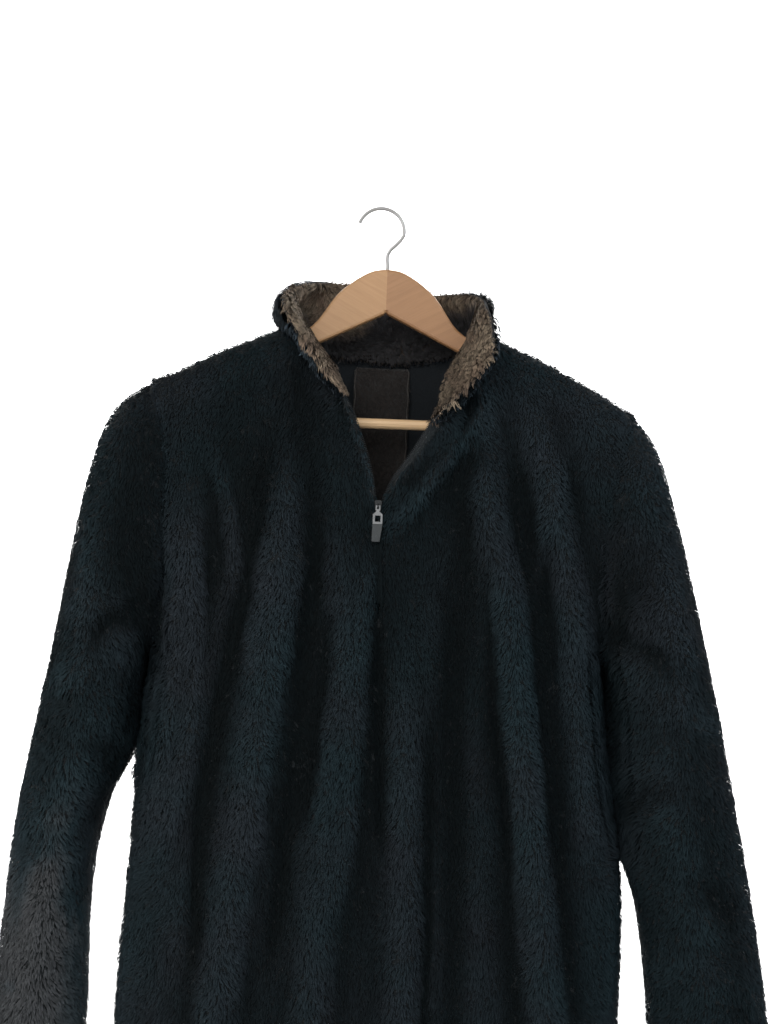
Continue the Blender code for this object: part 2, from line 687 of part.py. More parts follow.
def sleeve_ring(table, side, ring, turns):
    """One ring of the sleeve. Its first ones follow the armhole's curved seam."""
    seam = "left" if side < 0 else "right"
    outer = np.array([table.at("outer_x", ring), 0, table.at("outer_z", ring)])
    inner = np.array([table.at("inner_x", ring), 0, table.at("inner_z", ring)])
    armhole = max(0, 1 - ring / ARMHOLE_RINGS)
    power = ARMHOLE_ROUNDNESS + SLEEVE_ROUNDER * min(1, ring / SLEEVE_ROUNDED_AT)
    points = []
    for turn in turns:
        depth = table.at("front" if turn <= math.pi else "back", ring)
        point = (outer + inner) / 2 + (outer - inner) / 2 * math.cos(turn)
        point[1] = -math.copysign(depth * abs(math.sin(turn)) ** power, math.sin(turn))
        straight = outer[0] * (1 + math.cos(turn)) / 2 + inner[0] * (1 - math.cos(turn)) / 2
        point[0] += (SIDES.at(seam, point[2]) - straight) * armhole
        points.append(point)
    return points


def sleeve_fold(ring, turn):
    """How far the sleeve's folds stand out at one place."""
    total = 0.0
    for row in SLEEVE_FOLDS:
        fold = dict(zip(SLEEVE_FOLD_COLUMNS, row))
        down = min(abs(ring - fold["ring"]) / fold["ring_width"], 1)
        angle = abs((math.degrees(turn) - fold["angle"] + 180) % 360 - 180)
        round_ring = min(angle / fold["angle_width"], 1)
        total += fold["height"] * (math.cos(math.pi / 2 * down) * math.cos(math.pi / 2 * round_ring)) ** 2
    return total


def sleeve_grid(table, side):
    """Rings of the sleeve's outer surface, from the armhole to the cuff, with their normals."""
    rings = np.linspace(0, table.values["ring"][-1], SLEEVE_RINGS + 1)
    turns = [math.pi * k / ARM_ROWS for k in range(2 * ARM_ROWS)]
    grid = np.array([sleeve_ring(table, side, ring, turns) for ring in rings])
    normals = grid_normals(grid, closed=True)
    middles = grid.mean(axis=1, keepdims=True)
    normals *= np.sign(((grid - middles) * normals).sum(axis=-1).mean())
    for r, ring in enumerate(rings):
        for c, turn in enumerate(turns):
            grid[r, c] += normals[r, c] * sleeve_fold(ring, turn)
    for c, turn in enumerate(turns):
        normals[0, c] = unit([side * ARMHOLE_LEAN, -math.sin(turn), math.cos(turn)])
        grid[0, c, 0] += side * GAP / 2
        if abs(math.sin(turn)) > 1e-6:
            beside = 1 - abs(math.sin(turn)) ** ARMHOLE_ROUNDNESS
            grid[0, c, 1] -= math.copysign(GAP / 2 * beside, math.sin(turn))
    return grid, normals


def make_sleeve(name, table, side):
    grid, normals = sleeve_grid(table, side)
    rings, columns = grid.shape[:2]
    outer = grid.reshape(-1, 3)
    inner = outer - normals.reshape(-1, 3) * CLOTH
    wall(name, outer, inner, grid_faces(rings, columns, closed=True), "fleece")


# ---------------------------------------------------------------- collar


def collar_middle(s, v):
    """The face between the collar's shell and its lining, round it by s and up it by v."""
    seam = collar_seam(s)
    rim = np.array([COLLAR.at(n, s) for n in ("rim_x", "rim_y", "rim_z")])
    out = unit(collar_out(s) * (1, 1, 0.2))
    return seam + (rim - seam) * v + out * COLLAR.at("bulge", s) * math.sin(math.pi * v ** BULGE_LOW)


def collar_grid():
    stations = shares((SIDE_NECK_LEFT, FRONT_NECK_COLUMNS), (SIDE_NECK_RIGHT, BACK_NECK_COLUMNS),
                      (1, FRONT_NECK_COLUMNS))
    rows = np.linspace(0, 1, COLLAR_ROWS + 1)
    grid = np.array([[collar_middle(s, v) for s in stations] for v in rows])
    normals = grid_normals(grid)
    if normals[2, len(stations) // 2, 1] < 0:
        normals = -normals
    for c, s in enumerate(stations):
        normals[0, c] = collar_out(s)
        grid[0, c] += collar_up(s) * GAP / 2
    return grid, normals, stations, rows


def collar_thickness(full, at_seam, stations, rows):
    """A layer's thickness: round at the rim and at the two front edges, and thin at the neck seam."""
    thick = np.zeros((len(rows), len(stations), 1))
    for r, v in enumerate(rows):
        for c, s in enumerate(stations):
            rim = math.sqrt(1 - (max(0, v - RIM_START) / RIM_SPAN) ** 2)
            front = math.sqrt(1 - (max(0, EDGE_START - min(s, 1 - s)) / EDGE_SPAN) ** 2)
            seam = at_seam + (full - at_seam) * min(1, v / SEAM_SHARE)
            thick[r, c] = seam * rim * (EDGE_LEAST + (1 - EDGE_LEAST) * front)
    return thick


def make_collar():
    grid, normals, stations, rows = collar_grid()
    shell = collar_thickness(CLOTH, SEAM_CLOTH, stations, rows)
    lining = collar_thickness(LINING, LINING_SEAM, stations, rows)
    faces = grid_faces(len(rows), len(stations))
    middle = grid.reshape(-1, 3)
    outer = (grid + normals * shell).reshape(-1, 3)
    wall("collar_shell", outer, middle, faces, "fleece")
    face = grid - normals * GAP
    wall("collar_lining", face.reshape(-1, 3), (face - normals * lining).reshape(-1, 3), faces, "lining")
    return grid, normals


# ---------------------------------------------------------------- zip


def ribbon(name, path, across, out, width, thick, finish):
    """A flat strip along a path: across points to its free edge, out to its front."""
    corners = [path, path + across * width, path + across * width - out * thick, path - out * thick]
    points = np.stack(corners, axis=1).reshape(-1, 3)
    count = len(path)
    faces = [(4 * i + k, 4 * i + (k + 1) % 4, 4 * i + 4 + (k + 1) % 4, 4 * i + 4 + k)
             for i in range(count - 1) for k in range(4)]
    faces += [(3, 2, 1, 0), tuple(4 * (count - 1) + k for k in range(4))]
    add_object(name, points, faces, finish, 30)


def make_zip_sides(collar, collar_normals):
    """The bare edge of each tape with its teeth, from the closed end up to the collar's rim."""
    halves = front_halves()
    for name, half, column, inward in (("zip_left", 0, -1, 1), ("zip_right", 1, 0, -1)):
        grid, normals, thick = halves[half]
        beside = collar[:, 0] if half == 0 else collar[:, -1]
        beside_in = collar[:, 1] if half == 0 else collar[:, -2]
        beside_normals = collar_normals[:, 0] if half == 0 else collar_normals[:, -1]
        edge, out, next_to = [], [], []
        for r in range(SLIT_ROWS - 1, 0, -1):
            edge.append(grid[r, column] - normals[r, column] * thick[r, column] * TAPE_DEPTH)
            out.append(normals[r, column])
            next_to.append(grid[r, column] - grid[r, column - inward])
        edge.append(collar_seam(float(half), SEAM_CLOTH * (1 - TAPE_DEPTH)))
        out.append(collar_out(float(half)))
        next_to.append(beside[0] - beside_in[0])
        for r in range(1, COLLAR_ROWS):
            edge.append(beside[r])
            out.append(beside_normals[r])
            next_to.append(beside[r] - beside_in[r])
        edge, out = np.array(edge), unit(out)
        across = unit(np.cross(np.gradient(edge, axis=0), out))
        across *= np.sign((across * np.array(next_to)).sum(axis=1, keepdims=True))
        apart = np.where(edge[:, 2:] < SLIDER_Z, GAP, 2 * GAP)
        ribbon(name, edge + across * apart, across, out, TAPE_WIDTH, TAPE_THICK, "tape")


def plate_mesh(name, loops, axis, low, high):
    """A plate from outlines in a plane across one axis, the first its edge and the others its windows."""
    bm = bmesh.new()
    edges = []
    for loop in loops:
        verts = []
        for first, second in loop:
            place = [first * MM, second * MM]
            place.insert("XYZ".index(axis), low * MM)
            verts.append(bm.verts.new(place))
        edges += [bm.edges.new((verts[i - 1], verts[i])) for i in range(len(verts))]
    bmesh.ops.triangle_fill(bm, use_beauty=True, use_dissolve=False, edges=edges)
    made = bmesh.ops.extrude_face_region(bm, geom=list(bm.faces))
    moved = [e for e in made["geom"] if isinstance(e, bmesh.types.BMVert)]
    along = [(high - low) * MM if letter == axis else 0 for letter in "XYZ"]
    bmesh.ops.translate(bm, vec=along, verts=moved)
    bmesh.ops.recalc_face_normals(bm, faces=bm.faces)
    if bm.calc_volume(signed=True) < 0:
        bmesh.ops.reverse_faces(bm, faces=bm.faces)
    mesh = bpy.data.meshes.new(name)
    bm.to_mesh(mesh)
    bm.free()
    mesh.shade_smooth()
    mesh.set_sharp_from_angle(angle=math.radians(30))
    return mesh


def plate(name, loops, low_y, high_y, finish, origin=(0, 0, 0)):
    """A named plate across Y, from outlines in X and Z about its origin."""
    mesh = plate_mesh(name, loops, "Y", low_y, high_y)
    mesh.materials.append(material(finish))
    solid = bpy.data.objects.new(name, mesh)
    solid.location = [c * MM for c in origin]
    bpy.context.scene.collection.objects.link(solid)
    return solid


def zip_depth(z):
    """The front's depth beside the zip, on its deeper side."""
    depths = []
    for half in (-1, 1):
        top = top_edge(0.5, False, half)[0][2]
        depths.append(-body_point(0.5, (z - top) / (UNDERARM_Z - top), False, half)[1])
    return max(depths)


def pull_axis():
    """Where the pull hangs in the slider's bridge."""
    return np.array([ZIP_GAP.at("middle", SLIDER_Z), -(zip_depth(SLIDER_Z) + PULL_AXIS_OUT), SLIDER_Z])


def half_outline(right):
    """An outline that is the same on both sides, from its right half, top to bottom."""
    return right + [(-x, z) for x, z in reversed(right)]


def make_slider():
    """The slider's body, with the bridge that carries the pull."""
    x, y, z = pull_axis()
    top, low = SLIDER_LENGTH * 0.54, -SLIDER_LENGTH * 0.46
    body = half_outline([(TAPE_WIDTH - 1.0, top), (TAPE_WIDTH, top - 0.8), (TAPE_WIDTH - 0.5, low)])
    deepest = max(zip_depth(z + top), zip_depth(z + low)) - CLOTH * TAPE_DEPTH
    face = SLIDER_FACE_IN
    slider = plate("slider", [body], face, -deepest - 2 * GAP - y, "nickel", (x, y, z))
    # The bridge is an arch across X, round the pull's pin, with its feet a little inside the body.
    foot = face + 0.2
    arch = [(foot, BRIDGE_REACH)]
    inner = []
    for k in range(BRIDGE_STEPS + 1):
        turn = math.pi * k / BRIDGE_STEPS
        arch.append((-BRIDGE_REACH * math.sin(turn), BRIDGE_REACH * math.cos(turn)))
        within = BRIDGE_REACH - BRIDGE_THICK
        inner.append((-within * math.sin(turn), within * math.cos(turn)))
    arch += [(foot, -BRIDGE_REACH), (foot, BRIDGE_THICK - BRIDGE_REACH)] + inner[::-1]
    arch.append((foot, BRIDGE_REACH - BRIDGE_THICK))
    mesh = plate_mesh("bridge_cutter", [arch], "X", -BRIDGE_WIDTH / 2, BRIDGE_WIDTH / 2)
    bridge = bpy.data.objects.new("bridge_cutter", mesh)
    bridge.location = slider.location
    bpy.context.scene.collection.objects.link(bridge)
    bridge.hide_render = True
    bridge.display_type = "WIRE"
    joined = slider.modifiers.new("bridge", "BOOLEAN")
    joined.operation = "UNION"
    joined.solver = "EXACT"
    joined.object = bridge


def make_pull():
    """The pull hangs on the slider's bridge: an eye, a neck, a house-shaped frame and a grip.

    Both of its pieces have their origin on the hinge's axis.
    """
    axis = pull_axis()
    frame = half_outline([(EYE_HALF, 0.6), (EYE_HALF, -3.3), (1.1, -4.6), (FRAME_HALF, -7.6),
                          (FRAME_HALF, FRAME_LOW)])
    eye = half_outline([(1.0, -0.6), (1.0, -2.7)])
    window = half_outline([(FRAME_HALF - 1.8, -8.6), (FRAME_HALF - 1.8, FRAME_LOW + 2.0)])
    plate("pull_frame", [frame, eye, window], -0.6, 0.6, "nickel", axis)
    top = FRAME_LOW - GAP
    corners = [(-4.6, top), (4.6, top), (3.7 + GRIP_LEAN, GRIP_LOW + 0.6), (3.1 + GRIP_LEAN, GRIP_LOW),
               (-3.1 + GRIP_LEAN, GRIP_LOW), (-3.7 + GRIP_LEAN, GRIP_LOW + 0.6)]
    plate("pull_grip", [corners], -1.0, 1.0, "grip", axis)


# ---------------------------------------------------------------- hanger


def make_arm(name, side):
    """One half of the hanger, a flat board with rounded edges."""
    outs = ARM_EDGES.values["out"]
    curved = np.linspace(0, ARM_CURVED_TO, ARM_TOP_STEPS)
    top = [(o, ARM_EDGES.at("top", o)) for o in np.concatenate([curved, outs[outs > ARM_CURVED_TO]])]
    low = [(o, ARM_EDGES.at("low", o)) for o in (BAR_END + GAP, 0.0)]
    outline = []
    for out, z in top + ARM_TIP + low:
        outline.append((WOOD_X + side * (out if out else GAP / 2), z))
    arm = plate(name, [outline], -WOOD_THICK / 2, WOOD_THICK / 2, "wood")
    edges = arm.modifiers.new("round_edges", "BEVEL")
    edges.width = ARM_EDGE_ROUND * MM
    edges.segments = 2
    edges.limit_method = "ANGLE"
    edges.angle_limit = math.radians(50)


def tube(name, path, radius, finish, sides=2):
    curve = bpy.data.curves.new(name, "CURVE")
    curve.dimensions = "3D"
    curve.bevel_depth = radius * MM
    curve.bevel_resolution = sides
    curve.use_fill_caps = True
    spline = curve.splines.new("POLY")
    spline.points.add(len(path) - 1)
    for point, place in zip(spline.points, path):
        point.co = (*(c * MM for c in place), 1)
    curve.materials.append(material(finish))
    made = bpy.data.objects.new(name, curve)
    bpy.context.scene.collection.objects.link(made)


def make_hanger():
    make_arm("hanger_left", -1)
    make_arm("hanger_right", 1)
    tube("trouser_bar", [(WOOD_X - BAR_END, 0, BAR_Z), (WOOD_X + BAR_END, 0, BAR_Z)], BAR_RADIUS, "bar", 4)
    path = []
    for turn in np.radians(np.linspace(HOOK_START, HOOK_END, HOOK_STEPS + 1)):
        x = HOOK_CENTRE[0] + HOOK_RADIUS * math.cos(turn)
        path.append((x, 0, HOOK_CENTRE[1] + HOOK_RADIUS * math.sin(turn)))
    path += [(x, 0, z) for x, z in HOOK_TAIL]
    tube("hook", path, WIRE / 2, "steel", 3)


def main():
    for old in list(bpy.data.objects):
        bpy.data.objects.remove(old, do_unlink=True)
    make_front()
    make_back()
    make_sleeve("sleeve_left", SLEEVE_LEFT, -1)
    make_sleeve("sleeve_right", SLEEVE_RIGHT, 1)
    collar, collar_normals = make_collar()
    make_zip_sides(collar, collar_normals)
    make_slider()
    make_pull()
    make_hanger()


main()
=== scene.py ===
import math
from collections import deque

import bmesh
import bpy
import numpy as np
from mathutils import Matrix, Vector
from mathutils.bvhtree import BVHTree
from mathutils.kdtree import KDTree


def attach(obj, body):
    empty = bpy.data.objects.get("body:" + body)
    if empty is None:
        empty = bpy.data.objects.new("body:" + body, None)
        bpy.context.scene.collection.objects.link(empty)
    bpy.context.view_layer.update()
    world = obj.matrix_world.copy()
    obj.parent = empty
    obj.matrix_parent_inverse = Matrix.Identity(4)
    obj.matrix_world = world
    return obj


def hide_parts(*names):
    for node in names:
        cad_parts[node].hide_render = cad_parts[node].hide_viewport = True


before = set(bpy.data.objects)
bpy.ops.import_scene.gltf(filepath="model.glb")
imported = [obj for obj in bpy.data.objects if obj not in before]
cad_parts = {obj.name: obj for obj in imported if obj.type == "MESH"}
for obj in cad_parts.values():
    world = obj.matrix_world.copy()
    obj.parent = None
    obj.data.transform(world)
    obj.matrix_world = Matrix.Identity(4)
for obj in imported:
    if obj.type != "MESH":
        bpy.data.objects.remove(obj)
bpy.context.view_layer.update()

scene = bpy.context.scene
print("frame loaded,", len(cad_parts), "CAD nodes")


def unit(vectors):
    vectors = np.asarray(vectors, float)
    return vectors / np.maximum(np.linalg.norm(vectors, axis=-1, keepdims=True), 1e-12)


def smoothStep(value, low, high):
    t = np.clip((value - low) / (high - low), 0, 1)
    return t * t * (3 - 2 * t)


def addNode(tree, kind, settings=None, **inputs):
    # a shader node; a socket given as input gets linked, _ stands for a space, and n6 is input number 6
    made = tree.nodes.new(kind)
    for name, value in (settings or {}).items():
        setattr(made, name, value)
    for name, value in inputs.items():
        byNumber = name[0] == "n" and name[1:].isdigit()
        socket = made.inputs[int(name[1:])] if byNumber else made.inputs[name.replace("_", " ")]
        if isinstance(value, bpy.types.NodeSocket):
            tree.links.new(value, socket)
        else:
            socket.default_value = value
    return made


def newMaterial(name, colour, roughness, metallic=0.0, gloss=0.5):
    made = bpy.data.materials.new(name)
    made.use_nodes = True
    shader = made.node_tree.nodes["Principled BSDF"]
    shader.inputs["Base Color"].default_value = (*colour, 1)
    shader.inputs["Roughness"].default_value = roughness
    shader.inputs["Metallic"].default_value = metallic
    shader.inputs["Specular IOR Level"].default_value = gloss
    return made, made.node_tree, shader


def objectPlace(tree, scale=(1, 1, 1), rotation=(0, 0, 0)):
    # the point on the piece, in its own frame
    place = addNode(tree, "ShaderNodeTexCoord").outputs["Object"]
    return addNode(tree, "ShaderNodeMapping", None, Vector=place, Scale=scale, Rotation=rotation).outputs[0]


def noise(tree, place, scale, detail=2.0, distortion=0.0):
    return addNode(tree, "ShaderNodeTexNoise", None, Vector=place, Scale=scale, Detail=detail,
                   Distortion=distortion).outputs[0]


def mapped(tree, value, low=0.0, high=1.0, toLow=0.0, toHigh=1.0, way="LINEAR"):
    # low to high becomes toLow to toHigh
    return addNode(tree, "ShaderNodeMapRange", {"interpolation_type": way}, Value=value, From_Min=low,
                   From_Max=high, To_Min=toLow, To_Max=toHigh).outputs[0]


def multiplied(tree, first, second):
    return addNode(tree, "ShaderNodeMath", {"operation": "MULTIPLY"}, n0=first, n1=second).outputs[0]


def mixColours(tree, share, first, second):
    first, second = ((*c, 1) if isinstance(c, tuple) else c for c in (first, second))
    return addNode(tree, "ShaderNodeMix", {"data_type": "RGBA"}, Factor=share, n6=first, n7=second).outputs[2]


def paint(tree, shader, share, first, second):
    # the base colour goes from first to second with share
    tree.links.new(mixColours(tree, share, first, second), shader.inputs["Base Color"])


def bumpInto(tree, shader, height, distance):
    bump = addNode(tree, "ShaderNodeBump", None, Height=height, Distance=distance, Strength=1.0)
    tree.links.new(bump.outputs["Normal"], shader.inputs["Normal"])


def readAll(items, name, width=1, kind=float):
    # one attribute of all points, corners or faces
    values = np.empty(len(items) * width, kind)
    items.foreach_get(name, values)
    return values.reshape(-1, width) if width > 1 else values


def placed(name, data):
    made = bpy.data.objects.new(name, data)
    scene.collection.objects.link(made)
    return made


def finished(name, mesh, materials, body="garment"):
    # puts a piece in the scene, dresses it and lets it ride on its body
    for item in materials:
        mesh.materials.append(item)
    piece = placed(name, mesh)
    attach(piece, body)
    return piece


def meshOf(name, points, faces):
    mesh = bpy.data.meshes.new(name)
    mesh.from_pydata(np.asarray(points).tolist(), [], faces)
    return mesh


def leafMesh(name, points, uvMaps, normals):
    # faces of four points each, with their own UV maps and normals
    count = len(points) // 4
    mesh = bpy.data.meshes.new(name)
    mesh.vertices.add(len(points))
    mesh.vertices.foreach_set("co", np.asarray(points, np.float32).ravel())
    mesh.loops.add(len(points))
    mesh.loops.foreach_set("vertex_index", np.arange(len(points), dtype=np.int32))
    mesh.polygons.add(count)
    mesh.polygons.foreach_set("loop_start", np.arange(count, dtype=np.int32) * 4)
    mesh.update(calc_edges=True)
    mesh.polygons.foreach_set("use_smooth", np.ones(count, bool))
    for label, values in uvMaps.items():
        layer = mesh.uv_layers.new(name=label)
        layer.uv.foreach_set("vector", np.asarray(values, np.float32).ravel())
    mesh.normals_split_custom_set_from_vertices(np.asarray(normals, np.float32))
    return mesh


def tubeFaces(first, rings, around):
    # quads between rings of points that follow each other, then the two ends
    faces = [(at + k, at + (k + 1) % around, at + around + (k + 1) % around, at + around + k)
             for at in range(first, first + (rings - 1) * around, around) for k in range(around)]
    last = first + (rings - 1) * around
    return faces + [tuple(range(first + around - 1, first - 1, -1)), tuple(range(last, last + around))]


def treeOf(points, numbers):
    # for finding the points that are near
    tree = KDTree(len(points))
    for point, number in zip(points, numbers):
        tree.insert(point, number)
    tree.balance()
    return tree


def mergedMesh(node):
    # a CAD node's points, each once, and its triangles
    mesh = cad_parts[node].data
    points = readAll(mesh.vertices, "co", 3)
    grid = np.round(points * 1e5).astype(int)
    kept, same = np.unique(grid, axis=0, return_index=True, return_inverse=True)[1:]
    corners = readAll(mesh.loops, "vertex_index", kind=int)
    return points[kept], same.reshape(-1)[corners].reshape(-1, 3)


def triangleAreas(points, tris):
    # as vectors along each triangle's normal
    a, b, c = (points[tris[:, k]] for k in range(3))
    return np.cross(b - a, c - a) / 2


# how the two faces of a CAD wall are paired: search radius and thickness in metres, how straight across
# the wall a pair has to stand, and how many points may stay without a mate
pairing = {"reach": 0.013, "thinnest": 0.001, "thickest": 0.0105, "straight": 0.85, "slant": 0.7,
           "slack": 0.0015, "lone": 8}


def pairedFrom(seed, points, normals, tris, byEdge):
    # walks over both faces of the wall at once from one pair of triangles; stops at the rim
    partner = dict(zip(seed[0], seed[1]))
    first = byEdge[(seed[0][0], seed[0][1])]
    done = {first: byEdge[(seed[1][1], seed[1][0])]}
    waiting = deque([first])
    while waiting:
        corners = tris[waiting.popleft()]
        for k in range(3):
            p, q = corners[k], corners[(k + 1) % 3]
            over = byEdge[(q, p)]
            mate = byEdge.get((partner[p], partner[q]))
            third = sum(tris[over]) - p - q
            if over in done or mate is None or third in (partner[p], partner[q]):
                continue
            mateThird = sum(tris[mate]) - partner[p] - partner[q]
            across = points[third] - points[mateThird]
            gap = np.linalg.norm(across)
            steep = across @ normals[over] < pairing["slant"] * gap - pairing["slack"]
            if gap > pairing["thickest"] or steep:
                continue
            if partner.setdefault(third, mateThird) == mateThird:
                done[over] = mate
                waiting.append(over)
    return partner


def wallSheets(node, looksTo):
    # the outer and the inner sheet of a wall, point for point, and the outer one's triangles
    points, triArray = mergedMesh(node)
    areas = triangleAreas(points, triArray)
    normals = unit(areas)
    tris = triArray.tolist()
    byEdge = {(tri[k], tri[(k + 1) % 3]): t for t, tri in enumerate(tris) for k in range(3)}
    tree = treeOf(points, range(len(points)))
    for t in range(0, len(tris), 5):
        mates = []
        for i in tris[t]:
            near = [(gap, j) for place, j, gap in tree.find_range(points[i], pairing["reach"])
                    if gap > pairing["thinnest"]
                    and (points[i] - place) @ normals[t] > pairing["straight"] * gap]
            mates.append(min(near)[1] if near else -1)
        mate = byEdge.get((mates[1], mates[0]))
        if mate is None or mates[2] not in tris[mate]:
            continue
        partner = pairedFrom((tris[t], mates), points, normals, tris, byEdge)
        if len(partner) * 2 >= len(points) - pairing["lone"]:
            break
    else:
        raise RuntimeError(f"{node}: its two faces couldn't be told apart")
    side = np.zeros(len(points))
    side[list(partner)] = 1
    side[list(partner.values())] = -1
    offsets = np.zeros_like(points)
    for i, j in partner.items():
        offsets[i], offsets[j] = points[j] - points[i], points[i] - points[j]
    # where one face lacks a point, the other face's point takes the offset of its neighbours
    for lone in np.flatnonzero(side == 0):
        beside = np.unique(triArray[(triArray == lone).any(axis=1)])
        beside = beside[side[beside] != 0]
        side[lone] = np.sign(side[beside].sum())
        offsets[lone] = offsets[beside].mean(axis=0)
    outTris = np.flatnonzero((side[triArray] > 0).all(axis=1))
    inTris = np.flatnonzero((side[triArray] < 0).all(axis=1))
    if isinstance(looksTo, str):
        widest = np.linalg.norm(areas[outTris], axis=1).sum() > np.linalg.norm(areas[inTris], axis=1).sum()
        turned = widest != (looksTo == "larger")
    else:
        turned = areas[outTris].sum(axis=0) @ looksTo < areas[inTris].sum(axis=0) @ looksTo
    if turned:
        outTris, side = inTris, -side
    order = np.flatnonzero(side > 0)
    number = np.full(len(points), -1)
    number[order] = np.arange(len(order))
    return points[order], points[order] + offsets[order], number[triArray[outTris]]


def openEdges(tris):
    # directed edges that only one triangle has
    directed = {(int(t[k]), int(t[(k + 1) % 3])) for t in tris for k in range(3)}
    return [(i, j) for i, j in directed if (j, i) not in directed]


def clothWall(name, node, looksTo, look, shape=None):
    # the knitted backing: a thin wall inside the CAD's, smoothed, with its creases put in by shape
    outer, inner, tris = wallSheets(node, looksTo)
    base = outer + (inner - outer) * look["pileShare"]
    under = base + (inner - base) * look["backingShare"]
    count = len(base)
    bm = bmesh.new()
    edgeCrease = bm.edges.layers.float.new("crease_edge")
    pointCrease = bm.verts.layers.float.new("crease_vert")
    made = [bm.verts.new(p) for p in np.concatenate([base, under])]
    for i, j, k in tris.tolist():
        bm.faces.new((made[i], made[j], made[k])).material_index = 0
        bm.faces.new((made[k + count], made[j + count], made[i + count])).material_index = 1
    rim = openEdges(tris)
    before = {j: i for i, j in rim}
    sharpTurn = math.cos(math.radians(look["sharpFrom"]))  # a rim that turns more keeps its corner
    for i, j in rim:
        bm.faces.new((made[j], made[i], made[i + count], made[j + count])).material_index = 2
        for p, q in ((i, j), (i + count, j + count)):
            bm.edges.get((made[p], made[q]))[edgeCrease] = 1.0
        if i in before and unit(base[j] - base[i]) @ unit(base[i] - base[before[i]]) < sharpTurn:
            made[i][pointCrease] = made[i + count][pointCrease] = 1.0
    bmesh.ops.join_triangles(bm, faces=[f for f in bm.faces if len(f.verts) == 3], cmp_materials=True,
                             angle_face_threshold=math.radians(look["joinTo"]), angle_shape_threshold=math.pi)
    bmesh.ops.recalc_face_normals(bm, faces=bm.faces)
    if bm.calc_volume(signed=True) < 0:
        bmesh.ops.reverse_faces(bm, faces=bm.faces)
    rough = bpy.data.meshes.new(name)
    bm.to_mesh(rough)
    bm.free()
    holder = placed("holder", rough)
    rounding = holder.modifiers.new("rounding", "SUBSURF")
    rounding.levels = rounding.render_levels = look["levels"]
    depsgraph = bpy.context.evaluated_depsgraph_get()
    mesh = bpy.data.meshes.new_from_object(holder.evaluated_get(depsgraph))
    bpy.data.objects.remove(holder)
    mesh.name = name
    points = readAll(mesh.vertices, "co", 3)
    if shape:
        points += shape(points)
        mesh.vertices.foreach_set("co", points.ravel())
        mesh.update()
    mesh.polygons.foreach_set("use_smooth", np.ones(len(mesh.polygons), bool))
    return mesh, points


def pileGround(name, mesh, points, look):
    # what the pile grows on: the outer sheet, and the rim where the look says so
    index = readAll(mesh.polygons, "material_index", kind=int)
    corners = readAll(mesh.loops, "vertex_index", kind=int).reshape(-1, 4)
    middles = points[corners].mean(axis=1)
    rim = (index == 2) & look["rimPile"](middles)
    if "halfRim" in look:
        besidePile = np.zeros(len(points), bool)
        besidePile[corners[index == 0]] = True
        rim &= besidePile[corners].any(axis=1) | ~look["halfRim"](middles)
    quads = corners[(index == 0) | rim]
    piled = np.concatenate([quads[:, [0, 1, 2]], quads[:, [0, 2, 3]]], axis=1).reshape(-1, 3)
    areas = triangleAreas(points, piled)
    normals = np.zeros_like(points)
    for k in range(3):
        np.add.at(normals, piled[:, k], areas)
    normals = unit(normals)
    # how far each point stands out from what is round it: valleys under 0, ridges over 0
    used = np.unique(piled)
    tree = treeOf(points[used], used.tolist())
    stands = np.zeros(len(points))
    for i in used:
        near = np.array([j for _, j, _ in tree.find_range(points[i], look["foldReach"])])
        near = near[normals[near] @ normals[i] > 0.2]
        stands[i] = (points[i] - points[near].mean(axis=0)) @ normals[i]
    stands[used] -= np.median(stands[used])
    sizes = np.linalg.norm(areas, axis=1)
    low, high = np.percentile(stands[used], (5, 95)) * 1000
    print(f"{name}: {len(mesh.polygons)} quads, {sizes.sum():.4f} m2, folds {low:.1f} to {high:.1f} mm")
    return {"points": points, "tris": piled, "areas": sizes, "normals": normals, "stands": stands,
            "folds": stands.copy()}


def clothPanel(node, looksTo, look, shape=None, finishes=None):
    # the wall as a piece in its CAD node's place, and the ground for its pile
    name = node + "_cloth"
    mesh, points = clothWall(name, node, looksTo, look, shape)
    piece = finished(name, mesh, finishes or clothFinishes)
    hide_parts(node)
    return piece, pileGround(name, mesh, points, look)


def flatCloth(points, tris, stands=0.0):
    # ground for pile that faces the front
    return {"points": points, "tris": tris, "areas": np.linalg.norm(triangleAreas(points, tris), axis=1),
            "normals": np.tile((0.0, -1.0, 0.0), (len(points), 1)), "stands": np.full(len(points), stands),
            "folds": np.zeros(len(points))}


# creases, put in as soft ridges and troughs
def lineThrough(row, z):
    # x along a curve through three points given as x, z pairs
    (x0, z0), (x1, z1), (x2, z2) = row
    l0 = (z - z1) * (z - z2) / ((z0 - z1) * (z0 - z2))
    l1 = (z - z0) * (z - z2) / ((z1 - z0) * (z1 - z2))
    l2 = (z - z0) * (z - z1) / ((z2 - z0) * (z2 - z1))
    return x0 * l0 + x1 * l1 + x2 * l2


def creaseHeights(rows, x, z):
    total = np.zeros(len(x))
    for path, halfWidth, height, fade in rows:
        away = np.clip(np.abs(x - lineThrough(path, z)) / halfWidth, 0, 1)
        top, foot = path[0][1], path[2][1]
        along = smoothStep(top - z, -fade / 2, fade / 2) * smoothStep(z - foot, -fade / 2, fade / 2)
        total += height * np.cos(away * math.pi / 2) ** 2 * along
    return total


def panelShape(rows, way):
    # moves a panel's points out by its creases, but for its side edges and shoulders; way is -1 for
    # the front and 1 for the back
    def shape(points):
        x, y, z = (points * 1000).T
        keep = smoothStep(np.abs(y), 4, 18) * smoothStep(-z, 150, 215)
        moved = np.zeros_like(points)
        moved[:, 1] = creaseHeights(rows, x, z) * keep * way / 1000
        return moved
    return shape


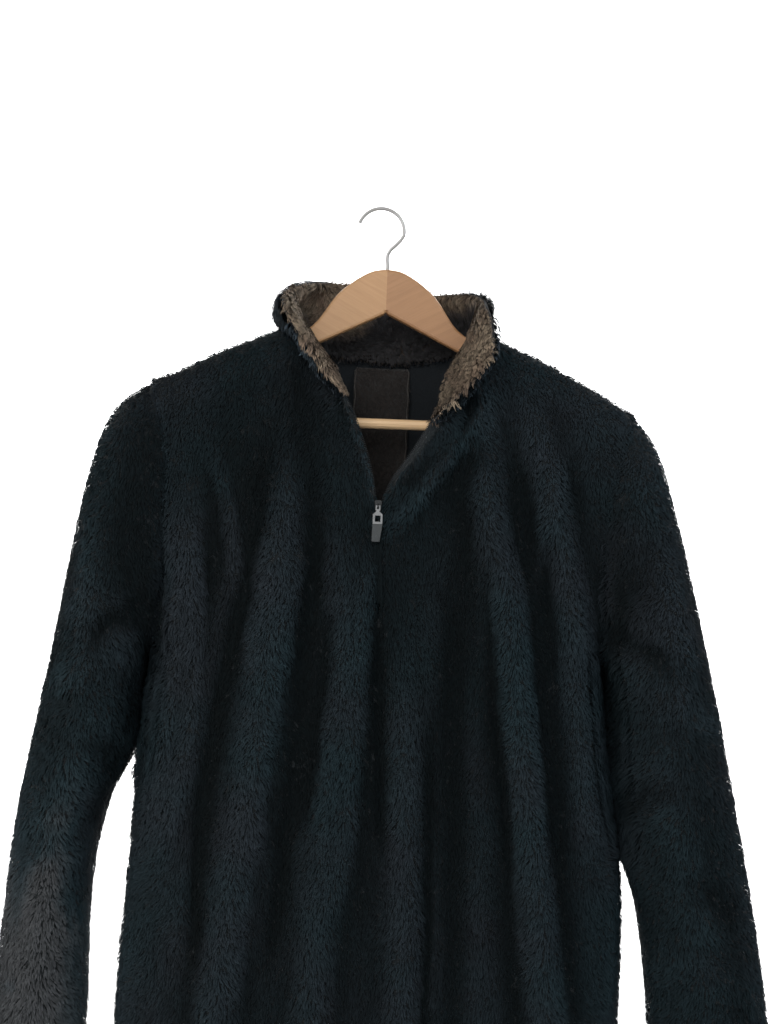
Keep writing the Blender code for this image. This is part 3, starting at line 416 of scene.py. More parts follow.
def sleeveShape(rows, centre):
    # moves a sleeve's points out by its creases, but for its top; centre is its middle line as x, z
    def shape(points):
        x, y, z = (points * 1000).T
        middle = np.interp(-z, [-p[1] for p in centre], [p[0] for p in centre])
        angle = np.degrees(np.arctan2(x - middle, -y))
        away = unit(np.stack([x - middle, y, np.zeros(len(x))], axis=1))
        total = np.zeros(len(x))
        for at, zMiddle, halfHeight, halfAngle, height, slope in rows:
            turned = (angle - at + 180) % 360 - 180
            down = np.clip(np.abs(z - zMiddle - turned * slope) / halfHeight, 0, 1)
            across = np.clip(np.abs(turned) / halfAngle, 0, 1)
            total += height * (np.cos(down * math.pi / 2) * np.cos(across * math.pi / 2)) ** 2
        return away * (total * smoothStep(-z, 215, 260))[:, None] / 1000
    return shape


def shadePatches(cloth, patches):
    # painted light and shade in places: x, z, half width, half height in mm, and how much lighter (over 0) or
    # darker (under 0)
    x, _, z = (cloth["points"] * 1000).T
    for atX, atZ, wide, high, amount in patches:
        cloth["stands"] += amount / 1000 * np.exp(-((x - atX) / wide) ** 2 - ((z - atZ) / high) ** 2)


def slowTurns(points, seed, wavelengths=(0.11, 0.07, 0.045, 0.03)):
    # a smooth field between about -1 and 1
    rng = np.random.default_rng(seed)
    total = np.zeros(len(points))
    for length in wavelengths:
        for _ in range(2):
            way = unit(rng.normal(size=3)) * 2 * math.pi / length
            total += np.sin(points @ way + rng.random() * 2 * math.pi)
    return total / math.sqrt(2 * len(wavelengths))


def makePile(name, cloth, look, material, keep=None, taller=None):
    # each lock is a leaf of two triangles: root, two sides and tip, folded along its length
    rng = np.random.default_rng(look["seed"])
    count = look["locks"]
    share = np.cumsum(cloth["areas"]) / cloth["areas"].sum()
    picked = np.searchsorted(share, (np.arange(count) + rng.random(count)) / count).clip(0, len(share) - 1)
    tri = cloth["tris"][picked]
    r, s = np.sqrt(rng.random(count)), rng.random(count)
    weights = np.stack([1 - r, r * (1 - s), r * s], axis=1)[..., None]
    roots = (cloth["points"][tri] * weights).sum(axis=1)
    normals = unit((cloth["normals"][tri] * weights).sum(axis=1))
    stands = (cloth["stands"][tri] * weights[..., 0]).sum(axis=1)
    folds = (cloth["folds"][tri] * weights[..., 0]).sum(axis=1)
    if keep is not None:
        chosen = keep(roots)
        roots, normals, stands, folds = roots[chosen], normals[chosen], stands[chosen], folds[chosen]
        count = len(roots)
    comb = np.array(look["comb"], float) + normals * look["fan"]
    comb = unit(comb - normals * (comb * normals).sum(axis=1, keepdims=True))
    side = np.cross(normals, comb)
    turn = look["sway"] * slowTurns(roots, look["seed"] + 1) + look["stray"] * rng.normal(size=count)
    comb = comb * np.cos(turn)[:, None] + side * np.sin(turn)[:, None]
    longer = 1 + look["waves"] * slowTurns(roots, look["seed"] + 2, (0.05, 0.025, 0.014))
    length = look["length"] * longer * rng.uniform(*look["lengths"], count)
    inFolds = 0.55 + 0.6 * smoothStep(folds, -0.003, 0.002)  # lower in a trough, higher on a ridge
    height = look["height"] * rng.uniform(*look["heights"], count) * inFolds
    if taller is not None:
        more = taller(roots, normals)
        length, height = length * more, height * more
    if "lowest" in look:  # a hem's pile is trimmed level
        length *= np.clip((roots[:, 2] - look["lowest"]) / length, look["shortest"], 1)
        height = np.minimum(height, length * look["steepest"])
    reach = np.sqrt(np.maximum(length ** 2 - height ** 2, 1e-8))
    tips = roots + comb * reach[:, None] + normals * height[:, None]
    # neighbouring locks lean together into tufts
    heads = rng.choice(count, max(1, count // look["perTuft"]), replace=False)
    tree = treeOf(roots[heads], range(len(heads)))
    mine = heads[np.array([tree.find(p)[1] for p in roots])]
    pull = look["tuft"] * rng.uniform(*look["pulls"], count)[:, None]
    tips = tips * (1 - pull) + (tips[mine] + (roots - roots[mine]) * look["tuftWide"]) * pull
    across = unit(np.cross(normals, tips - roots))
    roll = rng.normal(size=count) * look["roll"]
    across = across * np.cos(roll)[:, None] + normals * np.sin(roll)[:, None]
    across *= np.where((np.cross(across, tips - roots) * normals).sum(axis=1, keepdims=True) < 0, -1, 1)
    width = look["width"] * rng.uniform(*look["widths"], count)[:, None] / 2
    bend = look["bendAt"]
    middle = roots * (1 - bend) + tips * bend + normals * (height * look["arch"])[:, None]
    roots = roots - normals * look["sunk"]
    points = np.stack([roots, middle + across * width, tips, middle - across * width], axis=1).reshape(-1, 3)
    leaf = unit(np.cross(across, tips - roots))
    soft = look["soft"]
    lean = normals * soft + leaf * (1 - soft)
    facing = [normals, unit(lean + across * look["round"]), unit(lean), unit(lean - across * look["round"])]
    tone = np.repeat(rng.random(count), 4)
    tufts = np.repeat(rng.random(count)[mine], 4)
    uvMaps = {"lock": np.stack([tone, np.tile([0, 0.5, 1.0, 0.5], count)], axis=1),
              "fold": np.stack([np.repeat(stands, 4) * 100 + 0.5, tufts], axis=1)}
    mesh = leafMesh(name, points, uvMaps, np.stack(facing, axis=1).reshape(-1, 3))
    finished(name, mesh, [material])
    print(f"{name}: {count} locks")


def pileFinish(name, look):
    made, tree, shader = newMaterial(name, look["tip"], look["roughness"], gloss=look["gloss"])
    # lock: tone of its own and way from root to tip; fold: ridge or trough, which sets the painted light and
    # shade, and tone of its tuft
    lock, fold = (addNode(tree, "ShaderNodeSeparateXYZ", None,
                          Vector=addNode(tree, "ShaderNodeUVMap", {"uv_map": label}).outputs[0]).outputs
                  for label in ("lock", "fold"))
    along = mixColours(tree, lock[1], look["root"], look["tip"])
    patches = mapped(tree, noise(tree, objectPlace(tree), look["patchScale"], 3.0), 0.38, 0.64)
    tinted = addNode(tree, "ShaderNodeVectorMath", {"operation": "MULTIPLY"}, n0=along, n1=look["tint"])
    colour = mixColours(tree, patches, along, tinted.outputs[0])
    # painted shade: in the troughs the colour goes towards the deep colour
    level = mapped(tree, fold[0], look["valleyAt"], 0.45)
    colour = mixColours(tree, level, look["deep"], colour)
    # painted light: the raised folds go towards a lighter colour where the look gives one
    if "paintedLightColour" in look:
        raised = mapped(tree, fold[0], 0.75, 1.15)
        colour = mixColours(tree, raised, colour, look["paintedLightColour"])
    single = mapped(tree, lock[0], 0, 1, 1 - look["mottle"], 1 + look["mottle"])
    tuft = mapped(tree, fold[1], 0, 1, 1 - look["tuftMottle"], 1 + look["tuftMottle"])
    # painted shade in the troughs and painted light on the ridges
    paintedFoldShade = mapped(tree, fold[0], look["valleyAt"], look["ridgeAt"], look["valley"], look["ridge"],
                   "SMOOTHSTEP")
    tone = multiplied(tree, multiplied(tree, single, tuft), paintedFoldShade)
    shade = addNode(tree, "ShaderNodeVectorMath", {"operation": "SCALE"}, n0=colour, Scale=tone).outputs[0]
    tree.links.new(shade, shader.inputs["Base Color"])
    shader.inputs["Sheen Weight"].default_value = look["sheen"]
    shader.inputs["Sheen Roughness"].default_value = 0.45
    shader.inputs["Sheen Tint"].default_value = (*look["sheenTint"], 1)
    return made


def clothFinish(name, colour, otherColour, scale, bump):
    # a knitted or brushed cloth: fine loops, soft patches
    made, tree, shader = newMaterial(name, colour, 0.9, gloss=0.2)
    place = objectPlace(tree)
    fine = noise(tree, place, scale, 4.0)
    loops = addNode(tree, "ShaderNodeTexVoronoi", None, Vector=place, Scale=scale * 1.6).outputs["Distance"]
    paint(tree, shader, mapped(tree, fine, 0.35, 0.65), colour, otherColour)
    bumpInto(tree, shader, multiplied(tree, fine, loops), bump)
    shader.inputs["Sheen Weight"].default_value = 0.15
    return made


def grainFinish(name, colour, otherColour, scale, roughness, gloss=0.5, bump=0.0):
    # two close tones in a fine even grain
    made, tree, shader = newMaterial(name, colour, roughness, gloss=gloss)
    grain = noise(tree, objectPlace(tree), scale)
    paint(tree, shader, grain, colour, otherColour)
    if bump:
        bumpInto(tree, shader, grain, bump)
    return made


# colours along a lock and the painted shade in the valleys, then how much single locks and tufts differ, and
# how dark the troughs and how light the ridges are painted
darkPile = {
    "root": (0.0031, 0.0056, 0.0068), "tip": (0.0062, 0.0113, 0.0137), "deep": (0.0034, 0.0074, 0.0090),
    "tint": (1.34, 0.98, 1.00), "patchScale": 9.0, "mottle": 0.12, "tuftMottle": 0.20,
    "valleyAt": 0.14, "ridgeAt": 0.86, "valley": 0.31, "ridge": 1.72,
    "roughness": 0.75, "gloss": 0.05, "sheen": 0.0, "sheenTint": (0.55, 0.75, 0.9),
}
brownPile = {
    "root": (0.014, 0.0105, 0.008), "tip": (0.156, 0.123, 0.088), "deep": (0.092, 0.090, 0.097),
    "tint": (0.8, 0.72, 0.72), "patchScale": 45.0, "mottle": 0.35, "tuftMottle": 0.5,
    "valleyAt": 0.0, "ridgeAt": 0.8, "valley": 0.17, "ridge": 1.4,
    "roughness": 0.7, "gloss": 0.15, "sheen": 0.05, "sheenTint": (1.0, 0.85, 0.7),
}
fleeceFinish = pileFinish("blueBlackPile", darkPile)
liningFinish = pileFinish("brownPile", brownPile)
fleeceRoots = clothFinish("pileRoots", (0.0022, 0.0038, 0.0047), (0.0042, 0.0070, 0.0086), 420, 0.0012)
liningRoots = clothFinish("liningRoots", (0.04, 0.028, 0.02), (0.09, 0.066, 0.048), 420, 0.0012)
backingFinish = clothFinish("navyKnitBacking", (0.0022, 0.0036, 0.0052), (0.0042, 0.0064, 0.0086), 700,
                            0.0005)
hemFinish = clothFinish("foldedHem", (0.0030, 0.0042, 0.0055), (0.0065, 0.0085, 0.0105), 500, 0.0005)
print("cloth finishes made")


# the fleece panels: which share of the CAD wall is pile, and which of the rest is backing; from how
# sharp a turn a rim keeps its corner, up to which angle triangles join, how far round a fold is judged
panelWall = {"pileShare": 0.38, "backingShare": 1.0, "sharpFrom": 38, "joinTo": 60, "levels": 1,
             "foldReach": 0.034, "rimPile": lambda middles: middles[:, 2] < 0}
frontCreases = [
    # path as x, z of top, middle and foot, half width, height, fade, all in mm
    (((8, -392), (13, -470), (22, -590)), 11, -4.5, 50),
    (((60, -500), (63, -620), (69, -860)), 12, -4.5, 80),
    (((-192, -330), (-190, -450), (-205, -560)), 14, -4.5, 60),
    (((-165, -330), (-161, -460), (-178, -600)), 14, 4.5, 60),
    (((-112, -350), (-134, -463), (-150, -700)), 16, -4.5, 70),
    (((-66, -340), (-86, -463), (-101, -600)), 12, 3.5, 60),
    (((-50, -300), (-58, -470), (-78, -700)), 16, -4.0, 80),
    (((-33, -390), (-39, -470), (-51, -570)), 15, -5.0, 60),
    (((-3, -340), (-6, -463), (-17, -640)), 13, 4.0, 60),
    (((78, -370), (86, -573), (93, -790)), 26, -4.5, 90),
    (((112, -330), (122, -450), (141, -610)), 12, -4.5, 60),
    (((134, -340), (150, -463), (178, -700)), 12, 3.5, 60),
    (((-150, -235), (-132, -300), (-126, -360)), 12, 3.0, 60),
    (((176, -230), (160, -300), (152, -370)), 12, 3.0, 60),
    (((112, -168), (76, -224), (24, -300)), 11, 4.5, 40),
]
backCreases = [
    (((-60, -250), (-72, -430), (-84, -700)), 13, -4.0, 80),
    (((4, -210), (0, -400), (-8, -640)), 12, -4.5, 80),
    (((62, -260), (70, -420), (76, -760)), 13, -4.5, 80),
    (((-128, -520), (-134, -660), (-142, -860)), 10, -5.0, 60),
    (((128, -480), (136, -640), (146, -860)), 11, -5.0, 60),
    (((-170, -250), (-150, -300), (-140, -380)), 11, 3.5, 60),
    (((190, -250), (168, -310), (156, -390)), 11, 3.5, 60),
    (((34, -560), (38, -680), (30, -860)), 9, 4.0, 60),
]
leftArm = [(-209, -297), (-240, -345), (-252, -420), (-262, -500), (-285, -600), (-298, -700), (-303, -806)]
rightArm = [(235, -300), (262, -350), (275, -420), (288, -500), (306, -600), (326, -690), (343, -800)]
# angle from the front, z, half height, half angle, height, slope, in degrees and mm
leftArmCreases = [
    (10, -400, 22, 70, -4.5, 0.35), (-30, -455, 20, 60, 4.0, 0.3), (30, -520, 22, 60, -4.0, -0.25),
    (-10, -610, 26, 60, -4.0, 0.35), (40, -690, 24, 60, 3.5, -0.3), (-40, -745, 22, 60, -3.5, 0.25),
    (170, -430, 22, 60, -4.5, 0.3), (190, -540, 24, 60, -4.5, -0.3), (170, -650, 24, 60, -4.0, 0.3),
]
rightArmCreases = [
    (-10, -410, 24, 70, -4.5, -0.35), (30, -470, 20, 60, 4.0, -0.3), (-30, -540, 22, 60, -4.0, 0.3),
    (15, -630, 26, 60, -4.0, -0.35), (-40, -700, 24, 60, 3.5, 0.25), (40, -750, 22, 60, -3.5, -0.25),
    (190, -430, 22, 60, -4.5, -0.3), (170, -550, 24, 60, -4.5, 0.3), (190, -660, 24, 60, -4.0, -0.3),
]
clothFinishes = [fleeceRoots, backingFinish, hemFinish]  # pile side, inner side, rim

# sizes in metres; comb is the way the pile lies, and fan spreads it to both sides of a fold
bodyPile = {
    "locks": 172000, "length": 0.0082, "height": 0.0037, "width": 0.00115, "arch": 0.45,
    "bendAt": 0.48, "comb": (0, 0, -1), "fan": (1.15, 0.0, 0.0), "sway": 0.26, "stray": 0.12,
    "perTuft": 7, "tuft": 0.36, "tuftWide": 0.3, "roll": 0.22, "soft": 0.84, "round": 0.25,
    "lowest": -0.8185, "seed": 11,
    # how unlike the locks are: least and most share of length, height, width and pull into a tuft
    "waves": 0.22, "lengths": (0.7, 1.2), "heights": (0.55, 1.25), "widths": (0.7, 1.3), "pulls": (0.5, 1.2),
    "shortest": 0.45, "steepest": 0.6, "sunk": 0.0008,
}
# the slit: x of its left and right edge at heights from the closed end to the neck
slitAt = [(-0.400, 0.0080, 0.0080), (-0.389, 0.0050, 0.0135), (-0.330, 0.0020, 0.0125),
          (-0.275, -0.0010, 0.0110), (-0.207, -0.0215, 0.0600), (-0.147, -0.0420, 0.1050)]
slitMargin = 0.003  # how far in from its left edge locks may stand; a third of it on the right
zipLine = 0.0075  # parts the front's pile into two pieces


def besideSlit(points):
    x, z = points[:, 0], points[:, 2]
    heights, left, right = np.transpose(slitAt)
    inside = ((x > np.interp(z, heights, left) + slitMargin)
              & (x < np.interp(z, heights, right) - slitMargin / 3))
    return ~(inside & (z > heights[0]))


# where a sleeve hangs against the body: heights down the side seams with their distance from the
# body's middle, how near counts, where it starts and ends (left, right) and how much taller the pile is
gapLook = {"middle": 0.013, "heights": (0.30, 0.45, 0.60), "seams": (0.212, 0.222, 0.226), "near": 0.03,
           "top": -0.30, "lowest": (-0.55, -0.606), "taller": (1.5, 1.9), "shoulder": 0.35}


def closedGap(points, normals):
    # more pile in the gap beside a sleeve, and less of it on top of a shoulder
    x, z = points[:, 0], points[:, 2]
    seams = np.interp(-z, gapLook["heights"], gapLook["seams"])
    beside = np.abs(np.abs(x - gapLook["middle"]) - seams) < gapLook["near"]
    lowest, taller = (np.where(x > 0, gapLook[key][1], gapLook[key][0]) for key in ("lowest", "taller"))
    inGap = beside & (np.abs(normals[:, 0]) > 0.7) & (z > lowest) & (z < gapLook["top"])
    onShoulder = smoothStep(np.abs(x), 0.07, 0.11) * smoothStep(normals[:, 2], 0.15, 0.5)
    return np.where(inGap, taller, 1 - gapLook["shoulder"] * onShoulder)


frontPiece, frontCloth = clothPanel("front", (0, -1, 0), panelWall, panelShape(frontCreases, -1))
# painted light and shade on the front: shade across the middle, beside the collar, along the side seams and
# in the troughs; light on the right shoulder and low down
shadePatches(frontCloth, [(0, -330, 70, 60, -0.6), (-120, -230, 60, 60, -0.3), (110, -190, 30, 40, 1.2),
                          (10, -470, 60, 90, -0.8), (-120, -720, 60, 90, 0.6), (60, -760, 90, 60, 0.4),
                          (-203, -410, 9, 150, -1.2), (221, -420, 9, 150, -1.0), (160, -215, 40, 30, 0.8),
                          (-85, -245, 30, 50, -1.8), (-92, -292, 18, 40, -1.5), (65, -240, 30, 30, -1.0),
                          (118, -297, 18, 40, -1.8), (86, -520, 30, 200, -1.2)])
makePile("front_pile_left", frontCloth, bodyPile, fleeceFinish,
         keep=lambda p: (p[:, 0] < zipLine) & besideSlit(p), taller=closedGap)
makePile("front_pile_right", frontCloth, dict(bodyPile, seed=14), fleeceFinish,
         keep=lambda p: (p[:, 0] >= zipLine) & besideSlit(p), taller=closedGap)

backPiece, backCloth = clothPanel("back", (0, 1, 0), panelWall, panelShape(backCreases, 1))
backPile = dict(bodyPile, locks=61000, width=0.0021, seed=21)
makePile("back_pile", backCloth, backPile, fleeceFinish, taller=closedGap)

armPile = dict(bodyPile, locks=60000, width=0.0015, lowest=-0.8090)
leftPiece, leftCloth = clothPanel("sleeve_left", "larger", panelWall, sleeveShape(leftArmCreases, leftArm))
# painted shade on the sleeve's top and along its seam, and strong painted light low on its outer side
shadePatches(leftCloth, [(-200, -220, 60, 110, -1.2), (-308, -740, 45, 125, 9.0),
                         (-207, -430, 10, 150, -1.4)])
# painted light low on the sleeve, lighter towards its cuff: its raised folds go to a lighter, greyer colour
litCuffFinish = pileFinish("litCuffPile", dict(darkPile, ridgeAt=1.3, ridge=3.1, paintedLightColour=(0.0108, 0.0116, 0.0124)))
makePile("sleeve_left_pile", leftCloth, dict(armPile, seed=31), litCuffFinish, taller=closedGap)

rightPiece, rightCloth = clothPanel("sleeve_right", "larger", panelWall,
                                    sleeveShape(rightArmCreases, rightArm))
# painted shade on the sleeve's top and along its seam, and painted light lower down
shadePatches(rightCloth, [(230, -240, 60, 110, -0.8), (300, -560, 50, 140, 0.2),
                          (330, -740, 50, 90, 0.8), (236, -430, 9, 150, -1.2)])
makePile("sleeve_right_pile", rightCloth, dict(armPile, seed=41), fleeceFinish, taller=closedGap)

# the brown pile covers the collar's rim, but for the right corner, where the outer cloth's pile
# stands past it
shellWall = dict(panelWall, rimPile=lambda middles: (middles[:, 0] > 0.085) | (middles[:, 2] < -0.115))
collarPiece, collarCloth = clothPanel("collar_shell", "larger", shellWall)
collarPile = dict(bodyPile, locks=26000, height=0.0044, stray=0.15, tuft=0.35, seed=51)
# lighter, more mottled tips on the collar's pile: a painted highlight
collarHighlightFinish = pileFinish("collarPile", dict(darkPile, tip=(0.0105, 0.0165, 0.0205), mottle=0.5,
                                             tuftMottle=0.4))


def collarTaller(points, normals):
    # fuller at the left side and on top of the right rim
    x = points[:, 0]
    onTop = smoothStep(normals[:, 2], 0.1, 0.5)
    return 1 + 0.6 * smoothStep(-x, 0.07, 0.09) + 0.2 * smoothStep(x, 0.07, 0.09) * onTop


makePile("collar_shell_pile", collarCloth, collarPile, collarHighlightFinish, taller=collarTaller)

liningWall = dict(panelWall, pileShare=0.55, backingShare=0.75, foldReach=0.03,
                  rimPile=lambda middles: middles[:, 2] > -0.25,
                  halfRim=lambda middles: ((middles[:, 0] > 0.085)
                                           | (middles[:, 1] < -0.02) & (middles[:, 0] > 0)))
liningPiece, liningCloth = clothPanel("collar_lining", "smaller", liningWall, None,
                                      [liningRoots, backingFinish, liningRoots])
liningPile = dict(bodyPile, locks=60000, length=0.0100, height=0.0068, width=0.00075, comb=(0.15, -0.2, -1),
                  fan=(0.2, 0.2, 0.0), sway=0.8, stray=0.28, perTuft=20, tuft=0.6, soft=0.62, seed=61)
# the lining is shaded low inside the neck, and less so on its left
inX, inY, inZ = liningCloth["points"].T
lower = 0.03 * smoothStep(-inX, 0, 0.03)
liningCloth["stands"] -= 0.0045 * smoothStep(inY, -0.01, 0.02) * smoothStep(-inZ - lower, 0.080, 0.100)
# painted light on the lining's top left and along its right rim
shadePatches(liningCloth, [(-60, -90, 34, 24, 4.6), (90, -76, 30, 8, 1.5), (92, -120, 22, 40, 0.6)])


def liningTaller(points, normals):
    # short on the rim, most of all at the right, where the outer cloth stands past it
    shorter = 0.3 + 0.3 * smoothStep(points[:, 0], 0.05, 0.07)
    return 1 - shorter * smoothStep(normals[:, 2], 0.1, 0.5)


makePile("collar_lining_pile", liningCloth, liningPile, liningFinish, taller=liningTaller)

print("panels and pile made")


# the strip of facing inside the back neck
facingLook = {
    # heights down the strip with its left and right edge, in metres
    "rows": [(-0.1475, -0.0215, 0.0290), (-0.1500, -0.0234, 0.0312), (-0.203, -0.0230, 0.0314),
             (-0.240, -0.0228, 0.0309), (-0.300, -0.0215, 0.0305), (-0.384, -0.0200, 0.0300)],
    "columns": 18, "steps": 70, "before": 0.0016, "thick": 0.0012, "waves": 0.0007, "evened": 12,
    "lookFrom": -0.02, "deepest": 0.035,
    "seamIn": 0.0012, "seamBefore": 0.0012, "seamRadius": 0.00055, "seamWander": 0.0005,
}
hung = []
for node in ("neck_facing", "back"):
    points, tris = mergedMesh(node)
    hung.append(BVHTree.FromPolygons(points.tolist(), tris.tolist()))


def facingPoint(x, z):
    # on the CAD facing, or on the back's inner side where that ends
    hits = [tree.ray_cast(Vector((x, facingLook["lookFrom"], z)), Vector((0, 1, 0)))[0] for tree in hung]
    return (x, min([hit.y for hit in hits if hit is not None] or [facingLook["deepest"]]), z)


steps, columns = facingLook["steps"], facingLook["columns"]
edgeRows = np.array(facingLook["rows"])
grid = []
for z in np.linspace(edgeRows[0, 0], edgeRows[-1, 0], steps):
    leftX, rightX = (np.interp(-z, -edgeRows[:, 0], edgeRows[:, k]) for k in (1, 2))
    grid.append([facingPoint(x, z) for x in np.linspace(leftX, rightX, columns)])
grid = np.array(grid)
for _ in range(facingLook["evened"]):  # takes out the CAD's facets
    grid[1:-1, :, 1] = (grid[:-2, :, 1] + grid[1:-1, :, 1] * 2 + grid[2:, :, 1]) / 4
    grid[:, 1:-1, 1] = (grid[:, :-2, 1] + grid[:, 1:-1, 1] * 2 + grid[:, 2:, 1]) / 4
u = np.linspace(0, 1, columns)[None, :]
v = np.linspace(0, 1, steps)[:, None]
grid[:, :, 1] -= facingLook["before"] + facingLook["waves"] * np.sin(u * 9 + v * 14) * np.sin(v * 31 + 1)
face = grid.reshape(-1, 3)
facePoints = np.concatenate([face, face + (0, facingLook["thick"], 0)])
count = steps * columns
number = np.arange(count).reshape(steps, columns)
quads = [(r, r + columns, r + columns + 1, r + 1) for r in number[:-1, :-1].ravel().tolist()]
behind = [tuple(i + count for i in quad[::-1]) for quad in quads]
# the strip's edge all round, then the narrow faces between its two sides
rim = np.concatenate([number[0], number[1:, -1], number[-1, -2::-1], number[-2:0:-1, 0]]).tolist()
walls = [(i, j, j + count, i + count) for i, j in zip(rim, rim[1:] + rim[:1])]
facingMesh = meshOf("facing_cloth", facePoints, quads + behind + walls)
facingMesh.shade_smooth()
facingFinish = clothFinish("brownGreyFacing", (0.0105, 0.0102, 0.0102), (0.0200, 0.0192, 0.0190), 300, 0.0008)
facingNap = pileFinish("facingNap", dict(
    darkPile, root=(0.0085, 0.0080, 0.0080), tip=(0.0260, 0.0250, 0.0248), deep=(0.0260, 0.0250, 0.0248),
    valley=1.0, ridge=1.0, tint=(1.1, 1.0, 0.95)))
facingPiece = finished("facing_cloth", facingMesh, [facingFinish])
corners = np.array(quads)
facingCloth = flatCloth(facePoints, np.concatenate([corners[:, [0, 1, 2]], corners[:, [0, 2, 3]]]))
facingPile = dict(bodyPile, locks=8000, length=0.0048, height=0.0013, width=0.0010, fan=(0, 0, 0), sway=0.8,
                  stray=0.3, tuft=0.5, seed=71)
makePile("facing_nap", facingCloth, facingPile, facingNap)


def tubeMesh(name, paths, radius, around=6):
    # round cords along open paths, joined, with closed ends
    points, faces = [], []
    for path in paths:
        ahead = unit(np.gradient(path, axis=0))
        side = unit(np.cross(ahead, (0.31, 0.27, 0.91)))
        over = np.cross(ahead, side)
        faces += tubeFaces(len(points), len(path), around)
        for k in range(len(path)):
            for a in range(around):
                turn = 2 * math.pi * a / around
                points.append(path[k] + (side[k] * math.cos(turn) + over[k] * math.sin(turn)) * radius)
    mesh = meshOf(name, points, faces)
    mesh.shade_smooth()
    return mesh


seamFinish = clothFinish("seamCord", (0.020, 0.018, 0.0165), (0.040, 0.036, 0.033), 1200, 0.0002)
seams = []
for column, inward in ((0, 1), (-1, -1)):
    path = grid[:, column].copy()
    path[:, 0] += inward * facingLook["seamIn"] + facingLook["seamWander"] * np.sin(np.arange(steps) * 0.9)
    path[:, 1] -= facingLook["seamBefore"]
    seams.append(path)
seamMesh = tubeMesh("facing_seams", seams, facingLook["seamRadius"])
seamPiece = finished("facing_seams", seamMesh, [seamFinish])
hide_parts("neck_facing")
print("facing made")


# the zip's two sides: woven tape and a chain of small teeth
def tapeRows(node):
    # the ribbon's cross sections from the closed end upwards: cloth edge and free edge, front and back
    points, tris = mergedMesh(node)
    beside = {i: set() for i in range(len(points))}
    for tri in tris.tolist():
        for i in tri:
            beside[i].update(tri)
    layer = sorted(range(len(points)), key=lambda i: points[i][2])[:4]
    seen, rows = set(layer), [layer]
    while True:
        layer = [i for i in sorted(set().union(*(beside[k] for k in layer))) if i not in seen]
        if len(layer) != 4:
            break
        seen.update(layer)
        rows.append(layer)
    sections = []
    towards = 1 if node == "zip_left" else -1
    for layer in rows:
        corners = points[layer]
        # the two pairs across the tape's thickness
        mate = min(range(1, 4), key=lambda k: np.linalg.norm(corners[k] - corners[0]))
        pairs = [corners[[0, mate]], corners[[k for k in range(1, 4) if k != mate]]]
        middles = [pair.mean(axis=0) for pair in pairs]
        if sections:
            last = sections[-1].mean(axis=1)
            kept, swapped = (sum(np.linalg.norm(a - b) for a, b in zip(order, last))
                             for order in (middles, middles[::-1]))
            turned = kept > swapped
        else:
            turned = (middles[0][0] - middles[1][0]) * towards > 0
        if turned:
            pairs.reverse()
        sections.append(np.array([pair[np.argsort(pair[:, 1])] for pair in pairs]))
    return np.array(sections)


def evenlyAlong(paths, step):
    # the same places along several curves, step apart on the first
    gaps = np.linalg.norm(np.diff(paths[0], axis=0), axis=1)
    at = np.concatenate([[0], np.cumsum(gaps)])
    places = np.arange(0, at[-1], step)
    return [np.stack([np.interp(places, at, path[:, k]) for k in range(3)], axis=1) for path in paths]


def smoothPath(path, times):
    # corner cutting that keeps both ends
    for _ in range(times):
        cut = np.stack([path[:-1] * 0.75 + path[1:] * 0.25, path[:-1] * 0.25 + path[1:] * 0.75], axis=1)
        path = np.concatenate([path[:1], cut.reshape(-1, 3)[1:-1], path[-1:]])
    return path


tapeLook = {
    "thick": 0.0009, "tapeTo": 0.66, "tucked": 0.001, "rounded": 2, "sharpFrom": 50,
    "toothPitch": 0.0017, "toothWide": 0.0011, "toothLong": 0.0026, "toothThick": 0.0013,
    # a tooth's cross section, and how thick it is at its back, middle, nose and tip
    "toothRound": [(0, 1), (0.7, 0.7), (1, 0), (0.7, -0.7), (0, -1), (-0.7, -0.7), (-1, 0), (-0.7, 0.7)],
    "toothFat": (0.8, 1.0, 0.85, 0.4), "nose": 0.0002, "tip": 0.0006,
}
tapeFinish = clothFinish("wovenTape", (0.003, 0.004, 0.005), (0.007, 0.009, 0.010), 1500, 0.0002)
toothFinish = grainFinish("nylonTeeth", (0.004, 0.005, 0.006), (0.009, 0.011, 0.012), 900, 0.6, 0.2, 0.0001)


def toothRings(spot, along, ahead, way):
    # short rounded bars across the free edge, as rings of points
    long, wide, thick = tapeLook["toothLong"], tapeLook["toothWide"] / 2, tapeLook["toothThick"] / 2
    reaches = (-long, -long * 0.1, tapeLook["nose"], tapeLook["tip"])
    rings = []
    for reach, fat in zip(reaches, tapeLook["toothFat"]):
        rings.append(np.stack([spot + way * reach + along * (a * wide * fat) + ahead * (b * thick * fat)
                               for a, b in tapeLook["toothRound"]], axis=1))
    return np.stack(rings, axis=1).reshape(-1, 3)


